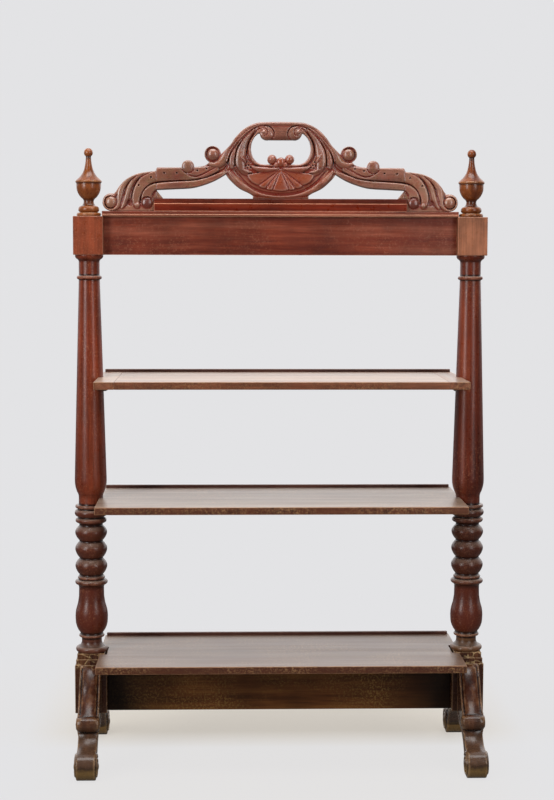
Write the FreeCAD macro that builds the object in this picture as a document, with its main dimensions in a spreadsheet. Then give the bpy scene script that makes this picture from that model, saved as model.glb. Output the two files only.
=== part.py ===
import FreeCAD, Part
import math
import os
import re

import Sketcher

# An open etagere: two turned posts carry three shelves, an apron rail and a carved crest.
# Lengths are millimetres. +Z is up, +X is to the right and the front faces -Y.
# The origin is on the floor, under the middle of the four feet.

SIZES = {
    # Posts and the levels along them
    "post_spacing": 880,
    "block_top": 1265,
    "upper_shelf_top": 896,
    "middle_shelf_top": 615,
    "bottom_shelf_top": 252,
    "block_width": 68,
    "block_height": 88,
    "neck_height": 59,
    "column_top_diameter": 48.5,
    "column_foot_diameter": 74,
    "swell_height": 41,
    "waist_diameter": 56,
    "waist_margin": 2,
    "collar_stack_height": 47,
    "turning_diameter": 75,
    "post_spigot_diameter": 26,
    "post_spigot_length": 48,
    # Finials
    "finial_height": 155,
    "finial_diameter": 55.5,
    "finial_spigot_diameter": 14,
    "finial_spigot_length": 30,
    # Apron rail and cap board
    "rail_thickness": 26,
    "rail_tenon_thickness": 10,
    "rail_tenon_tip_gap": 3,
    "rail_tenon_shoulder": 12,
    "cap_depth": 46,
    "cap_thickness": 12,
    "cap_lap": 3,
    # Crest
    "crest_lap": 1.5,
    "crest_height": 204,
    "crest_thickness": 22,
    "crest_relief": 5,
    "base_rail_length": 582,
    "base_rail_height": 29,
    "base_rail_step": 18,
    "base_rail_thickness": 30,
    "crest_dowel_diameter": 8,
    "crest_dowel_length": 36,
    "cap_dowel_length": 44,
    # Shelves
    "shelf_inset": 20,
    "shelf_depth": 330,
    "shelf_thickness": 17,
    "shelf_end_width": 46,
    "shelf_tongue_length": 10,
    "shelf_tongue_thickness": 6,
    "lip_height": 7,
    "lip_thickness": 9,
    "lip_setback": 4,
    "lip_rebate_depth": 4,
    # Cleats under the upper shelf
    "cleat_length": 120,
    "cleat_height": 10,
    "cleat_reach": 13.5,
    "cleat_wrap": 10,
    "screw_diameter": 4,
    "screw_head_diameter": 8,
    "screw_head_height": 2.5,
    "cleat_screw_spread": 84,
    "cleat_screw_length": 22,
    "post_screw_length": 38,
    # Base blocks and stretcher
    "base_block_width": 74,
    "base_block_bottom": 112,
    "plinth_step_height": 13,
    "plinth_step_inset": 2.5,
    "stretcher_thickness": 22,
    "stretcher_tenon_thickness": 10,
    "stretcher_tenon_length": 22,
    "stretcher_tenon_shoulder": 16,
    "shelf_dowel_diameter": 8,
    "shelf_dowel_length": 40,
    "shelf_dowel_entry": 10,
    # Scroll legs
    "leg_width": 50,
    "leg_reach": 217,
    "toe_diameter": 62,
    "toe_flat": 26,
    "toe_eye_diameter": 26,
    "knee_diameter": 35,
    "eye_relief": 4,
    "knee_distance": 130,
    "knee_height": 112,
    "leg_dowel_diameter": 10,
    "leg_dowel_length": 56,
    # Fits
    "fit_clearance": 0.2,
    "cut_overrun": 5,
}

# Places that follow from the sizes above
DERIVED = {
    "post_offset": "post_spacing / 2",
    "block_bottom": "block_top - block_height",
    "block_inner_face": "post_offset - block_width / 2",
    "rail_tenon_length": "block_width / 2 - finial_spigot_diameter / 2 - rail_tenon_tip_gap",
    "column_top": "block_bottom - neck_height",
    "upper_shelf_underside": "upper_shelf_top - shelf_thickness",
    "middle_shelf_underside": "middle_shelf_top - shelf_thickness",
    "bottom_shelf_underside": "bottom_shelf_top - shelf_thickness",
    "collar_foot": "middle_shelf_underside - collar_stack_height",
    "waist_top": "middle_shelf_top + waist_margin",
    "column_foot": "waist_top + swell_height",
    "column_taper": "(column_foot_diameter - column_top_diameter) / 2 / (column_top - column_foot)",
    "shelf_notch_radius": "column_top_diameter / 2 + column_taper * (column_top - upper_shelf_underside)",
    "cleat_underside": "upper_shelf_underside - cleat_height",
    "cleat_middle": "upper_shelf_underside - cleat_height / 2",
    "cleat_notch_radius": "column_top_diameter / 2 + column_taper * (column_top - cleat_underside)",
    "cleat_front": "cleat_notch_radius + cleat_reach",
    "cap_top": "block_top + cap_thickness",
    "base_rail_top": "cap_top + base_rail_height",
    "crest_half": "block_inner_face + crest_lap",
    "shelf_length": "post_spacing - 2 * shelf_inset",
    "upper_board_length": "shelf_length - 2 * shelf_end_width",
    "lip_length": "shelf_length - 2 * lip_setback",
    "base_inner_face": "post_offset - base_block_width / 2",
    "leg_top": "bottom_shelf_top - 2 * plinth_step_height",
    "leg_back": "base_block_width / 2",
    "post_spigot_foot": "bottom_shelf_top - post_spigot_length",
    "toe_distance": "leg_reach - toe_diameter / 2",
}

# Turned rows: share of the zone's height, share of the zone's diameter, and the angle of the arc
# up to the next row: 0 is straight, a positive angle swells and a negative one is hollow.
POST_LOWER_SHARES = [
    (0.000, 0.880, 130),
    (0.042, 0.880, 0),
    (0.044, 0.810, -50),
    (0.078, 0.620, 0),
    (0.112, 0.620, 0),
    (0.116, 0.720, 150),
    (0.138, 0.720, 0),
    (0.148, 0.690, 42),
    (0.254, 1.000, 16),
    (0.335, 0.960, -22),
    (0.488, 0.775, 0),
    (0.512, 0.775, -60),
    (0.534, 0.920, 130),
    (0.567, 0.920, 0),
    (0.575, 0.780, 130),
    (0.598, 0.780, 0),
    (0.604, 0.745, -40),
    (0.612, 0.735, 24),
    (0.658, 0.955, 42),
    (0.699, 0.955, 24),
    (0.736, 0.735, -80),
    (0.744, 0.735, 24),
    (0.791, 0.955, 42),
    (0.832, 0.955, 24),
    (0.870, 0.735, -80),
    (0.880, 0.735, 24),
    (0.922, 0.955, 42),
    (0.960, 0.955, 24),
    (0.994, 0.735, -60),
]
COLLAR_SHARES = [
    (0.080, 0.760, 0),
    (0.120, 0.870, 130),
    (0.340, 0.870, 0),
    (0.360, 0.810, 0),
    (0.430, 0.810, 0),
    (0.440, 0.900, 110),
    (0.760, 0.900, 0),
    (0.780, 0.820, 0),
    (0.840, 0.820, 0),
    (0.850, 0.910, 110),
    (0.980, 0.930, 0),
    (1.000, 0.930, 0),
]
WAIST_ARC = -30
SWELL_SHARES = [(0.28, 0.86, 24)]
NECK_SHARES = [
    (0.040, 0.995, 0),
    (0.050, 1.060, 150),
    (0.190, 1.060, 0),
    (0.200, 0.990, 0),
    (0.760, 0.990, -30),
    (0.830, 1.110, 60),
    (0.960, 1.340, 0),
    (1.000, 1.340, 0),
]
FINIAL_SHARES = [
    (0.000, 0.940, 90),
    (0.052, 0.940, 0),
    (0.056, 0.700, 130),
    (0.150, 0.700, 0),
    (0.158, 0.560, -50),
    (0.235, 0.424, -40),
    (0.270, 0.600, 48),
    (0.460, 1.015, 0),
    (0.490, 1.025, 120),
    (0.530, 1.025, 0),
    (0.545, 0.940, -38),
    (0.690, 0.370, -16),
    (0.872, 0.215, 0),
]
FINIAL_BALL_SHARE = 0.370

# Crest outlines: share of half the crest's length from the middle, share of its height, arc angle.
CREST_SEAT_SHARE = 0.157
CENTER_SHARES = [
    (0.157, 0.176, 32),
    (0.309, 0.412, 0),
    (0.309, 0.696, 0),
    (0.238, 0.868, 42),
    (0.110, 0.995, 0),
]
OPENING_SHARES = [
    (0.064, 0.540, 66),
    (0.162, 0.700, 62),
    (0.115, 0.868, -150),
    (0.056, 0.799, 0),
]
WING_SHARES = [
    (0.309, 0.412, 35),
    (0.601, 0.250, 0),
    (0.700, 0.235, 0),
    (0.700, 0.485, 0),
    (0.442, 0.495, -40),
    (0.400, 0.580, 0),
    (0.339, 0.637, 0),
    (0.309, 0.696, 0),
]
END_SHARES = [
    (0.950, 0.000, 0),
    (0.950, 0.190, 0),
    (0.928, 0.200, 53),
    (0.760, 0.431, 0),
    (0.700, 0.441, 0),
    (0.700, 0.235, 0),
]
END_SLANT_SHARE = 0.660
SHELL_SHARES = [
    (0.190, 0.412, 0),
    (0.100, 0.520, 0),
]
SHELL_ARC = 112
# Round bosses: share of half the length, share of the height, radius as a share of the height.
BALL_SHARES = (0.047, 0.583, 0.054)
BUTTON_SHARES = (0.383, 0.642, 0.092)
LOBE_SHARES = (0.521, 0.495, 0.070)
# Bosses of the end boards: share of the height, radius as a share of the height.
END_SCROLL_SHARES = (0.098, 0.098)
END_BOSS_SHARES = (0.095, 0.074)

# Places of dowels as shares of the crest's half length and height, or of the piece that they cross
CENTER_DOWEL_SHARE = 0.090
CAP_DOWEL_SHARES = (0.393, 0.847)
WING_SEAM_SHARES = (0.309, 0.505)
END_SEAM_SHARES = (0.700, 0.338)
LEG_DOWEL_SHARES = (0.30, 0.84)
SHELF_DOWEL_SHARES = (-0.7, 0.0, 0.7)

# The front of a leg: share of the way from block to knee, share of the way from knee to leg top
LEG_SHOULDER_SHARES = (0.46, 0.68)
LEG_ANKLE_SHARE = 0.42
# Arcs of a leg's outline, from the top of its front down to the toe and back under the arch
LEG_SHOULDER_ARC = 34
LEG_OGEE_ARC = -44
LEG_ANKLE_ARC = -50
LEG_ARCH_ARC = -60
HALF_TURN = 180

SIDES = (("left", -1), ("right", 1))
ENDS = (("front", -1), ("back", 1))

doc = FreeCAD.newDocument("Etagere")
sheet = doc.addObject("Spreadsheet::Sheet", "Sizes")
for row, (name, size) in enumerate(SIZES.items(), start=1):
    sheet.set(f"A{row}", str(size))
    sheet.setAlias(f"A{row}", name)
for row, (name, formula) in enumerate(DERIVED.items(), start=1):
    sheet.set(f"C{row}", f"={formula}")
    sheet.setAlias(f"C{row}", name)
doc.recompute()

KNOWN = set(SIZES) | set(DERIVED)
pieces = []


def tied(formula):
    """A formula with the sheet's name before each size in it."""
    return re.sub(r"[a-z_]\w*", lambda word: f"Sizes.{word[0]}" if word[0] in KNOWN else word[0], formula)


def value(formula):
    return float(sheet.evalExpression(tied(formula)))


def bind(thing, **formulas):
    for attribute, formula in formulas.items():
        thing.setExpression(attribute, tied(formula))


def place(thing, x="0", y="0", z="0", axis=FreeCAD.Vector(0, 0, 1), angle=0):
    thing.Placement = FreeCAD.Placement(FreeCAD.Vector(), FreeCAD.Rotation(axis, angle))
    thing.setExpression("Placement.Base.x", tied(x))
    thing.setExpression("Placement.Base.y", tied(y))
    thing.setExpression("Placement.Base.z", tied(z))


def keep(thing, label):
    """Names a finished piece and puts it on the list of pieces to write."""
    thing.Label = label
    pieces.append(thing)
    return thing


# Plain solids and booleans


def box(name, x, y, z):
    """A box between the lower and upper bound given for each axis."""
    solid = doc.addObject("Part::Box", name)
    bind(solid, Length=f"({x[1]}) - ({x[0]})", Width=f"({y[1]}) - ({y[0]})", Height=f"({z[1]}) - ({z[0]})")
    place(solid, x[0], y[0], z[0])
    return solid


def rod(name, diameter, length, x, y, z, along="z"):
    """A cylinder that starts at a point and runs along one axis."""
    solid = doc.addObject("Part::Cylinder", name)
    bind(solid, Radius=f"({diameter}) / 2", Height=length)
    turns = {
        "x": (FreeCAD.Vector(0, 1, 0), 90),
        "-x": (FreeCAD.Vector(0, 1, 0), -90),
        "y": (FreeCAD.Vector(1, 0, 0), -90),
        "z": (FreeCAD.Vector(0, 0, 1), 0),
    }
    axis, angle = turns[along]
    place(solid, x, y, z, axis, angle)
    return solid


def fused(name, parts):
    whole = doc.addObject("Part::MultiFuse", name)
    whole.Shapes = parts
    return whole


def cut(name, base, tools):
    result = doc.addObject("Part::Cut", name)
    result.Base = base
    result.Tool = tools[0] if len(tools) == 1 else fused(f"{name}_cutters", tools)
    return result


def group(name, parts):
    whole = doc.addObject("Part::Compound", name)
    whole.Links = parts
    return whole


def centered(width):
    return (f"-({width}) / 2", f"({width}) / 2")


def on_side(sign, low, high):
    """A span along X on the right side, or its mirror image on the left."""
    return (low, high) if sign > 0 else (f"-({high})", f"-({low})")


# Bodies made from sketches


def new_body(name):
    return doc.addObject("PartDesign::Body", f"{name}_body")


def attached_sketch(body, name, plane, offset):
    sketch = body.newObject("Sketcher::SketchObject", name)
    support = next(feature for feature in body.Origin.OriginFeatures if feature.Role == plane)
    sketch.AttachmentSupport = [(support, "")]
    sketch.MapMode = "FlatFace"
    sketch.setExpression("AttachmentOffset.Base.z", tied(offset))
    return sketch


def edge(start, end, angle):
    """A line, or an arc of the given angle that bulges to the right of its way."""
    if angle == 0:
        return Part.LineSegment(start, end)
    chord = end - start
    rise = math.tan(math.radians(angle) / 4) / 2
    middle = (start + end) / 2 + FreeCAD.Vector(chord.y, -chord.x, 0) * rise
    return Part.Arc(start, middle, end)


def outline(body, name, plane, points, offset="0"):
    """A closed sketch through points (across, up, arc angle on the way to the next point)."""
    sketch = attached_sketch(body, name, plane, offset)
    corners = [FreeCAD.Vector(value(across), value(up), 0) for across, up, angle in points]
    following = corners[1:] + corners[:1]
    angles = [angle for across, up, angle in points]
    sketch.addGeometry([edge(*ends) for ends in zip(corners, following, angles)])
    starts = []
    for index, corner in enumerate(corners):
        gaps = [sketch.getPoint(index, end).distanceToPoint(corner) for end in (1, 2)]
        starts.append(1 if gaps[0] <= gaps[1] else 2)
    constraints = []
    formulas = []
    for index, (across, up, angle) in enumerate(points):
        before = index - 1 if index else len(points) - 1
        end_before = 3 - starts[before]
        constraints.append(Sketcher.Constraint("Coincident", before, end_before, index, starts[index]))
        if angle:
            constraints.append(Sketcher.Constraint("Angle", index, math.radians(abs(angle))))
        for kind, formula in (("DistanceX", across), ("DistanceY", up)):
            formulas.append((len(constraints), formula))
            constraints.append(Sketcher.Constraint(kind, -1, 1, index, starts[index], value(formula)))
    sketch.addConstraint(constraints)
    for number, formula in formulas:
        sketch.setExpression(f"Constraints[{number}]", tied(formula))
    return sketch


def round_outline(body, name, plane, across, up, diameter, offset="0"):
    sketch = attached_sketch(body, name, plane, offset)
    center = FreeCAD.Vector(value(across), value(up), 0)
    sketch.addGeometry(Part.Circle(center, FreeCAD.Vector(0, 0, 1), value(diameter) / 2))
    sketch.addConstraint([
        Sketcher.Constraint("DistanceX", -1, 1, 0, 3, center.x),
        Sketcher.Constraint("DistanceY", -1, 1, 0, 3, center.y),
        Sketcher.Constraint("Diameter", 0, value(diameter)),
    ])
    for number, formula in enumerate((across, up, diameter)):
        sketch.setExpression(f"Constraints[{number}]", tied(formula))
    return sketch


def rectangle(across, up):
    """Outline points of a rectangle between two spans."""
    return [
        (across[0], up[0], 0),
        (across[1], up[0], 0),
        (across[1], up[1], 0),
        (across[0], up[1], 0),
    ]


def pad(body, sketch, length, symmetric=False):
    feature = body.newObject("PartDesign::Pad", f"{sketch.Name}_pad")
    feature.Profile = sketch
    feature.SideType = "Symmetric" if symmetric else "One side"
    bind(feature, Length=length)
    return feature


def pocket(body, sketch, length, forward=False):
    """Cuts against the sketch's normal, or along it when forward."""
    feature = body.newObject("PartDesign::Pocket", f"{sketch.Name}_pocket")
    feature.Profile = sketch
    feature.Reversed = forward
    bind(feature, Length=length)
    return feature


def revolve(body, sketch):
    feature = body.newObject("PartDesign::Revolution", f"{sketch.Name}_turned")
    feature.Profile = sketch
    feature.ReferenceAxis = (sketch, ["V_Axis"])
    feature.Angle = 360
    return feature


def turned_rows(shares, foot, height, diameter):
    """Outline points of a turned zone: height and radius from shares of its height and diameter."""
    return [
        (f"{radius} * ({diameter}) / 2", f"({foot}) + {up} * ({height})", angle)
        for up, radius, angle in shares
    ]


# Turned posts and finials


def post(side, sign):
    """One turning: spigot, baluster, beads, collars, tapered column, neck and square block."""
    body = new_body(f"{side}_post")
    spigot_radius = "post_spigot_diameter / 2"
    profile = [
        ("0", "post_spigot_foot", 0),
        (spigot_radius, "post_spigot_foot", 0),
        (spigot_radius, "bottom_shelf_top", 0),
    ]
    lower_height = "collar_foot - bottom_shelf_top"
    profile += turned_rows(POST_LOWER_SHARES, "bottom_shelf_top", lower_height, "turning_diameter")
    profile += turned_rows(COLLAR_SHARES, "collar_foot", "collar_stack_height", "turning_diameter")
    profile.append(("waist_diameter / 2", "middle_shelf_underside", 0))
    profile.append(("waist_diameter / 2", "waist_top", WAIST_ARC))
    profile += turned_rows(SWELL_SHARES, "waist_top", "swell_height", "column_foot_diameter")
    profile.append(("column_foot_diameter / 2", "column_foot", 0))
    profile.append(("column_top_diameter / 2", "column_top", 0))
    profile += turned_rows(NECK_SHARES, "column_top", "neck_height", "column_top_diameter")
    profile.append(("0", "block_bottom", 0))
    revolve(body, outline(body, f"{side}_post_profile", "XZ_Plane", profile))

    square = rectangle(centered("block_width"), centered("block_width"))
    pad(body, outline(body, f"{side}_post_block", "XY_Plane", square, "block_bottom"), "block_height")

    mortise = rectangle(
        centered("rail_tenon_thickness + 2 * fit_clearance"),
        (
            "block_bottom + rail_tenon_shoulder - fit_clearance",
            "block_top - rail_tenon_shoulder + fit_clearance",
        ),
    )
    mortise_floor = "block_width / 2 - rail_tenon_length - fit_clearance"
    mortise_sketch = outline(body, f"{side}_post_mortise", "YZ_Plane", mortise, mortise_floor)
    pocket(body, mortise_sketch, "rail_tenon_length + cut_overrun", forward=True)

    socket_diameter = "finial_spigot_diameter + 2 * fit_clearance"
    socket = round_outline(body, f"{side}_post_socket", "XY_Plane", "0", "0", socket_diameter, "block_top")
    pocket(body, socket, "finial_spigot_length + fit_clearance")

    screw_tip = "cleat_front - post_screw_length - fit_clearance"
    screw_bore = "screw_diameter + 2 * fit_clearance"
    bore = round_outline(body, f"{side}_post_bore", "YZ_Plane", "0", "cleat_middle", screw_bore, screw_tip)
    pocket(body, bore, "post_screw_length", forward=True)
    place(body, f"{sign} * post_offset", angle=0 if sign < 0 else 180)
    keep(body, f"{side}_post")


def finial(side, sign):
    """An urn with a drawn-out neck and a ball, on a spigot that enters the post's block."""
    body = new_body(f"{side}_finial")
    spigot_radius = "finial_spigot_diameter / 2"
    spigot_foot = "block_top - finial_spigot_length"
    ball_radius = f"{FINIAL_BALL_SHARE} * finial_diameter / 2"
    profile = [("0", spigot_foot, 0), (spigot_radius, spigot_foot, 0), (spigot_radius, "block_top", 0)]
    profile += turned_rows(FINIAL_SHARES, "block_top", "finial_height", "finial_diameter")
    profile.append(("0", f"block_top + finial_height - {ball_radius}", 0))
    revolve(body, outline(body, f"{side}_finial_profile", "XZ_Plane", profile))
    ball_foot = f"block_top + finial_height - 2 * {ball_radius}"
    ball_top = "block_top + finial_height"
    ball = [("0", ball_foot, HALF_TURN), ("0", ball_top, 0)]
    revolve(body, outline(body, f"{side}_finial_ball", "XZ_Plane", ball))
    place(body, f"{sign} * post_offset")
    keep(body, f"{side}_finial")


# Apron rail, cap board and crest


def apron_rail():
    rail_z = ("block_bottom", "block_top")
    board = box("apron_board", centered("2 * block_inner_face"), centered("rail_thickness"), rail_z)
    tenon_z = ("block_bottom + rail_tenon_shoulder", "block_top - rail_tenon_shoulder")
    tenon_x = centered("2 * (block_inner_face + rail_tenon_length)")
    tenons = box("apron_tenons", tenon_x, centered("rail_tenon_thickness"), tenon_z)
    whole = fused("apron_with_tenons", [board, tenons])
    keep(cut("apron_bored", whole, cap_dowels("apron_bores", "fit_clearance")), "apron_rail")


def cap_dowels(name, clearance="0"):
    """Upright dowels that tie the apron rail, the cap board and the crest together."""
    return [
        rod(
            f"{name}_{side}_{number}",
            f"crest_dowel_diameter + 2 * {clearance}",
            f"cap_dowel_length + 2 * {clearance}",
            f"{sign} * {share} * crest_half",
            "0",
            f"(block_top + cap_top - cap_dowel_length) / 2 - {clearance}",
        )
        for side, sign in SIDES
        for number, share in enumerate(CAP_DOWEL_SHARES)
    ]


def seat_dowels(name, clearance="0"):
    """Upright dowels between the crest's base rail and its centre."""
    return [
        rod(
            f"{name}_{side}",
            f"crest_dowel_diameter + 2 * {clearance}",
            f"crest_dowel_length + 2 * {clearance}",
            f"{sign} * {CENTER_DOWEL_SHARE} * crest_half",
            "0",
            f"base_rail_top - crest_dowel_length / 2 - {clearance}",
        )
        for side, sign in SIDES
    ]


def seam_dowel(name, side, sign, seam_shares, clearance="0"):
    """A level dowel across a seam between two boards of the crest."""
    along, up = seam_shares
    return rod(
        f"{name}_{side}",
        f"crest_dowel_diameter + 2 * {clearance}",
        f"crest_dowel_length + 2 * {clearance}",
        f"{sign} * {along} * crest_half - crest_dowel_length / 2 - {clearance}",
        "0",
        f"cap_top + {up} * crest_height",
        "x",
    )


def cap_board():
    board = box(
        "cap_plank",
        centered("2 * (block_inner_face + cap_lap)"),
        centered("cap_depth"),
        ("block_top", "cap_top"),
    )
    keep(cut("cap_bored", board, cap_dowels("cap_bores", "fit_clearance")), "cap_board")


def crest_base_rail():
    rail_x = centered("base_rail_length")
    step_z = ("cap_top", "cap_top + base_rail_step")
    lower = box("base_rail_lower", rail_x, centered("base_rail_thickness"), step_z)
    upper = box("base_rail_upper", rail_x, centered("crest_thickness"), ("cap_top", "base_rail_top"))
    whole = fused("base_rail_whole", [lower, upper])
    bores = cap_dowels("base_rail_bores", "fit_clearance") + seat_dowels("base_rail_seats", "fit_clearance")
    keep(cut("base_rail_bored", whole, bores), "crest_base_rail")


def crest_points(shares, sign=1):
    """Outline points of a crest board on one side of the middle, mirrored for the left side."""
    points = [
        (f"{sign} * {along} * crest_half", f"cap_top + {up} * crest_height", angle)
        for along, up, angle in shares
    ]
    return points if sign > 0 else reversed_outline(points)


def reversed_outline(points):
    """The same outline in the opposite order, so that a mirrored outline keeps its swells."""
    angles = [angle for across, up, angle in points]
    backward = [(across, up) for across, up, angle in reversed(points)]
    following = angles[-2::-1] + angles[-1:]
    return [(across, up, angle) for (across, up), angle in zip(backward, following)]


def both_halves(shares):
    """A mirrored outline: the right half upwards, then the left half back down."""
    right = crest_points(shares)
    left = crest_points(shares, -1)
    return right[:-1] + [right[-1][:2] + (0,)] + left[:-1] + [left[-1][:2] + (0,)]


def crest_boss(body, name, along, shares, sign, relief="crest_relief"):
    """A round boss on both faces, at a distance from the middle."""
    up, radius = shares
    sketch = round_outline(
        body,
        name,
        "XZ_Plane",
        f"{sign} * ({along})",
        f"cap_top + {up} * crest_height",
        f"2 * {radius} * crest_height",
    )
    pad(body, sketch, f"crest_thickness + 2 * {relief}", symmetric=True)


def crest_center():
    """The pierced middle board with its raised shell, on the base rail."""
    body = new_body("crest_center")
    seat = f"{CREST_SEAT_SHARE} * crest_half"
    points = [(f"-{seat}", "base_rail_top", 0), (seat, "base_rail_top", 0)] + both_halves(CENTER_SHARES)
    pad(body, outline(body, "center_board", "XZ_Plane", points), "crest_thickness", symmetric=True)
    opening = outline(body, "center_opening", "XZ_Plane", both_halves(OPENING_SHARES), "crest_thickness / 2")
    pocket(body, opening, "crest_thickness")
    shell_points = both_halves(SHELL_SHARES)
    shell_points[-1] = shell_points[-1][:2] + (SHELL_ARC,)
    pad(body, outline(body, "center_shell", "XZ_Plane", shell_points, "crest_thickness / 2"), "crest_relief")
    for side, sign in SIDES:
        ball_along = f"{BALL_SHARES[0]} * crest_half"
        crest_boss(body, f"center_{side}_ball", ball_along, BALL_SHARES[1:], sign, relief="0")
    bores = seat_dowels("center_seats", "fit_clearance")
    for side, sign in SIDES:
        bores.append(seam_dowel("center_seams", side, sign, WING_SEAM_SHARES, "fit_clearance"))
    keep(cut("center_bored", body, bores), "crest_center")


def crest_wing(side, sign):
    """The sloping board beside the centre, with its button scroll and small lobe."""
    body = new_body(f"crest_{side}_wing")
    points = crest_points(WING_SHARES, sign)
    pad(body, outline(body, f"{side}_wing_board", "XZ_Plane", points), "crest_thickness", symmetric=True)
    button_along = f"{BUTTON_SHARES[0]} * crest_half"
    crest_boss(body, f"{side}_wing_button", button_along, BUTTON_SHARES[1:], sign)
    lobe_along = f"{LOBE_SHARES[0]} * crest_half"
    crest_boss(body, f"{side}_wing_lobe", lobe_along, LOBE_SHARES[1:], sign, relief="0")
    bores = [
        seam_dowel(f"{side}_wing_inner_bore", side, sign, WING_SEAM_SHARES, "fit_clearance"),
        seam_dowel(f"{side}_wing_outer_bore", side, sign, END_SEAM_SHARES, "fit_clearance"),
    ]
    keep(cut(f"{side}_wing_bored", body, bores), f"crest_{side}_wing")


def crest_end(side, sign):
    """The outer board that stands on the cap, with its end scroll and inner boss."""
    body = new_body(f"crest_{side}_end")
    inner = f"{sign} * base_rail_length / 2"
    slant = f"{sign} * {END_SLANT_SHARE} * crest_half"
    foot = [(slant, "base_rail_top", 0), (inner, "base_rail_top", 0), (inner, "cap_top", 0)]
    rise = [
        (f"{sign} * {along} * crest_half", f"cap_top + {up} * crest_height", angle)
        for along, up, angle in END_SHARES
    ]
    points = foot + rise if sign > 0 else reversed_outline(foot + rise)
    pad(body, outline(body, f"{side}_end_board", "XZ_Plane", points), "crest_thickness", symmetric=True)
    scroll_along = f"crest_half - {END_SCROLL_SHARES[1]} * crest_height"
    crest_boss(body, f"{side}_end_scroll", scroll_along, END_SCROLL_SHARES, sign)
    boss_along = f"base_rail_length / 2 + {END_BOSS_SHARES[1]} * crest_height + fit_clearance"
    crest_boss(body, f"{side}_end_boss", boss_along, END_BOSS_SHARES, sign)
    bores = cap_dowels(f"{side}_end_cap_bores", "fit_clearance")
    bores.append(seam_dowel(f"{side}_end_seam_bore", side, sign, END_SEAM_SHARES, "fit_clearance"))
    keep(cut(f"{side}_end_bored", body, bores), f"crest_{side}_end")


def crest_dowels():
    dowels = cap_dowels("cap_dowel") + seat_dowels("seat_dowel")
    for side, sign in SIDES:
        dowels.append(seam_dowel("wing_dowel", side, sign, WING_SEAM_SHARES))
        dowels.append(seam_dowel("end_dowel", side, sign, END_SEAM_SHARES))
    keep(group("crest_dowel_group", dowels), "crest_dowels")


# Shelves, lips and cleats


def notches(name, radius, foot, top):
    """Round cutters for the posts at both ends of a shelf."""
    return [
        rod(
            f"{name}_{side}",
            f"2 * ({radius} + fit_clearance)",
            f"{top} - ({foot}) + 2 * cut_overrun",
            f"{sign} * post_offset",
            "0",
            f"{foot} - cut_overrun",
        )
        for side, sign in SIDES
    ]


def cleat_screw_places():
    for side, sign in SIDES:
        for end, forward in ENDS:
            x = f"{sign} * (post_offset - cleat_front + screw_head_diameter)"
            yield f"{side}_{end}", x, f"{forward} * cleat_screw_spread / 2"


def shelf_screw_bores(name):
    return [
        rod(
            f"{name}_{place_name}",
            "screw_diameter + 2 * fit_clearance",
            "cleat_screw_length + cut_overrun + fit_clearance",
            x,
            y,
            "cleat_underside - cut_overrun",
        )
        for place_name, x, y in cleat_screw_places()
    ]


def upper_shelf():
    """A board with cross-grain ends, tongued and grooved, notched round the columns."""
    shelf_z = ("upper_shelf_underside", "upper_shelf_top")
    tongue_z = (
        "(upper_shelf_underside + upper_shelf_top - shelf_tongue_thickness) / 2",
        "(upper_shelf_underside + upper_shelf_top + shelf_tongue_thickness) / 2",
    )
    board = box("upper_shelf_board", centered("upper_board_length"), centered("shelf_depth"), shelf_z)
    tongue_length = "upper_board_length + 2 * shelf_tongue_length"
    tongues = box("upper_shelf_tongues", centered(tongue_length), centered("shelf_depth"), tongue_z)
    whole = fused("upper_shelf_whole", [board, tongues])
    keep(cut("upper_shelf_cut", whole, [lip_rebate("upper_shelf_rebate", "upper_shelf")]), "upper_shelf")
    for side, sign in SIDES:
        end_x = on_side(sign, "shelf_length / 2 - shelf_end_width", "shelf_length / 2")
        end = box(f"{side}_end_plank", end_x, centered("shelf_depth"), shelf_z)
        groove_x = on_side(
            sign,
            "shelf_length / 2 - shelf_end_width - cut_overrun",
            "shelf_length / 2 - shelf_end_width + shelf_tongue_length + fit_clearance",
        )
        groove_y = centered("shelf_depth + 2 * cut_overrun")
        groove = box(f"{side}_end_groove", groove_x, groove_y, tongue_z)
        cutters = notches(f"{side}_end_notch", "shelf_notch_radius", *shelf_z)
        cutters += shelf_screw_bores(f"{side}_end_bore")
        cutters.append(lip_rebate(f"{side}_end_rebate", "upper_shelf"))
        keep(cut(f"{side}_end_cut", end, [groove] + cutters), f"upper_shelf_{side}_end")


def middle_shelf():
    shelf_z = ("middle_shelf_underside", "middle_shelf_top")
    board = box("middle_shelf_board", centered("shelf_length"), centered("shelf_depth"), shelf_z)
    cutters = notches("middle_shelf_notch", "waist_diameter / 2", *shelf_z)
    cutters.append(lip_rebate("middle_shelf_rebate", "middle_shelf"))
    keep(cut("middle_shelf_cut", board, cutters), "middle_shelf")


def bottom_shelf():
    """The lowest board, notched round the stepped tops of the base blocks."""
    shelf_z = ("bottom_shelf_underside", "bottom_shelf_top")
    board = box("bottom_shelf_board", centered("shelf_length"), centered("shelf_depth"), shelf_z)
    notch_width = "base_block_width + 2 * fit_clearance"
    cutters = []
    for side, sign in SIDES:
        notch_x = on_side(sign, "base_inner_face - fit_clearance", "shelf_length / 2 + cut_overrun")
        notch_z = ("bottom_shelf_underside - cut_overrun", "bottom_shelf_top + cut_overrun")
        cutters.append(box(f"{side}_block_notch", notch_x, centered(notch_width), notch_z))
    cutters += shelf_dowel_rods("bottom_shelf_bore", "fit_clearance")
    cutters.append(lip_rebate("bottom_shelf_rebate", "bottom_shelf"))
    keep(cut("bottom_shelf_cut", board, cutters), "bottom_shelf")


def lip_rebate(name, shelf):
    """A cutter for the step along the back edge of a shelf that takes its lip."""
    return box(
        name,
        centered("lip_length + 2 * fit_clearance"),
        ("shelf_depth / 2 - lip_thickness", "shelf_depth / 2 + cut_overrun"),
        (f"{shelf}_top - lip_rebate_depth", f"{shelf}_top + cut_overrun"),
    )


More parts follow.
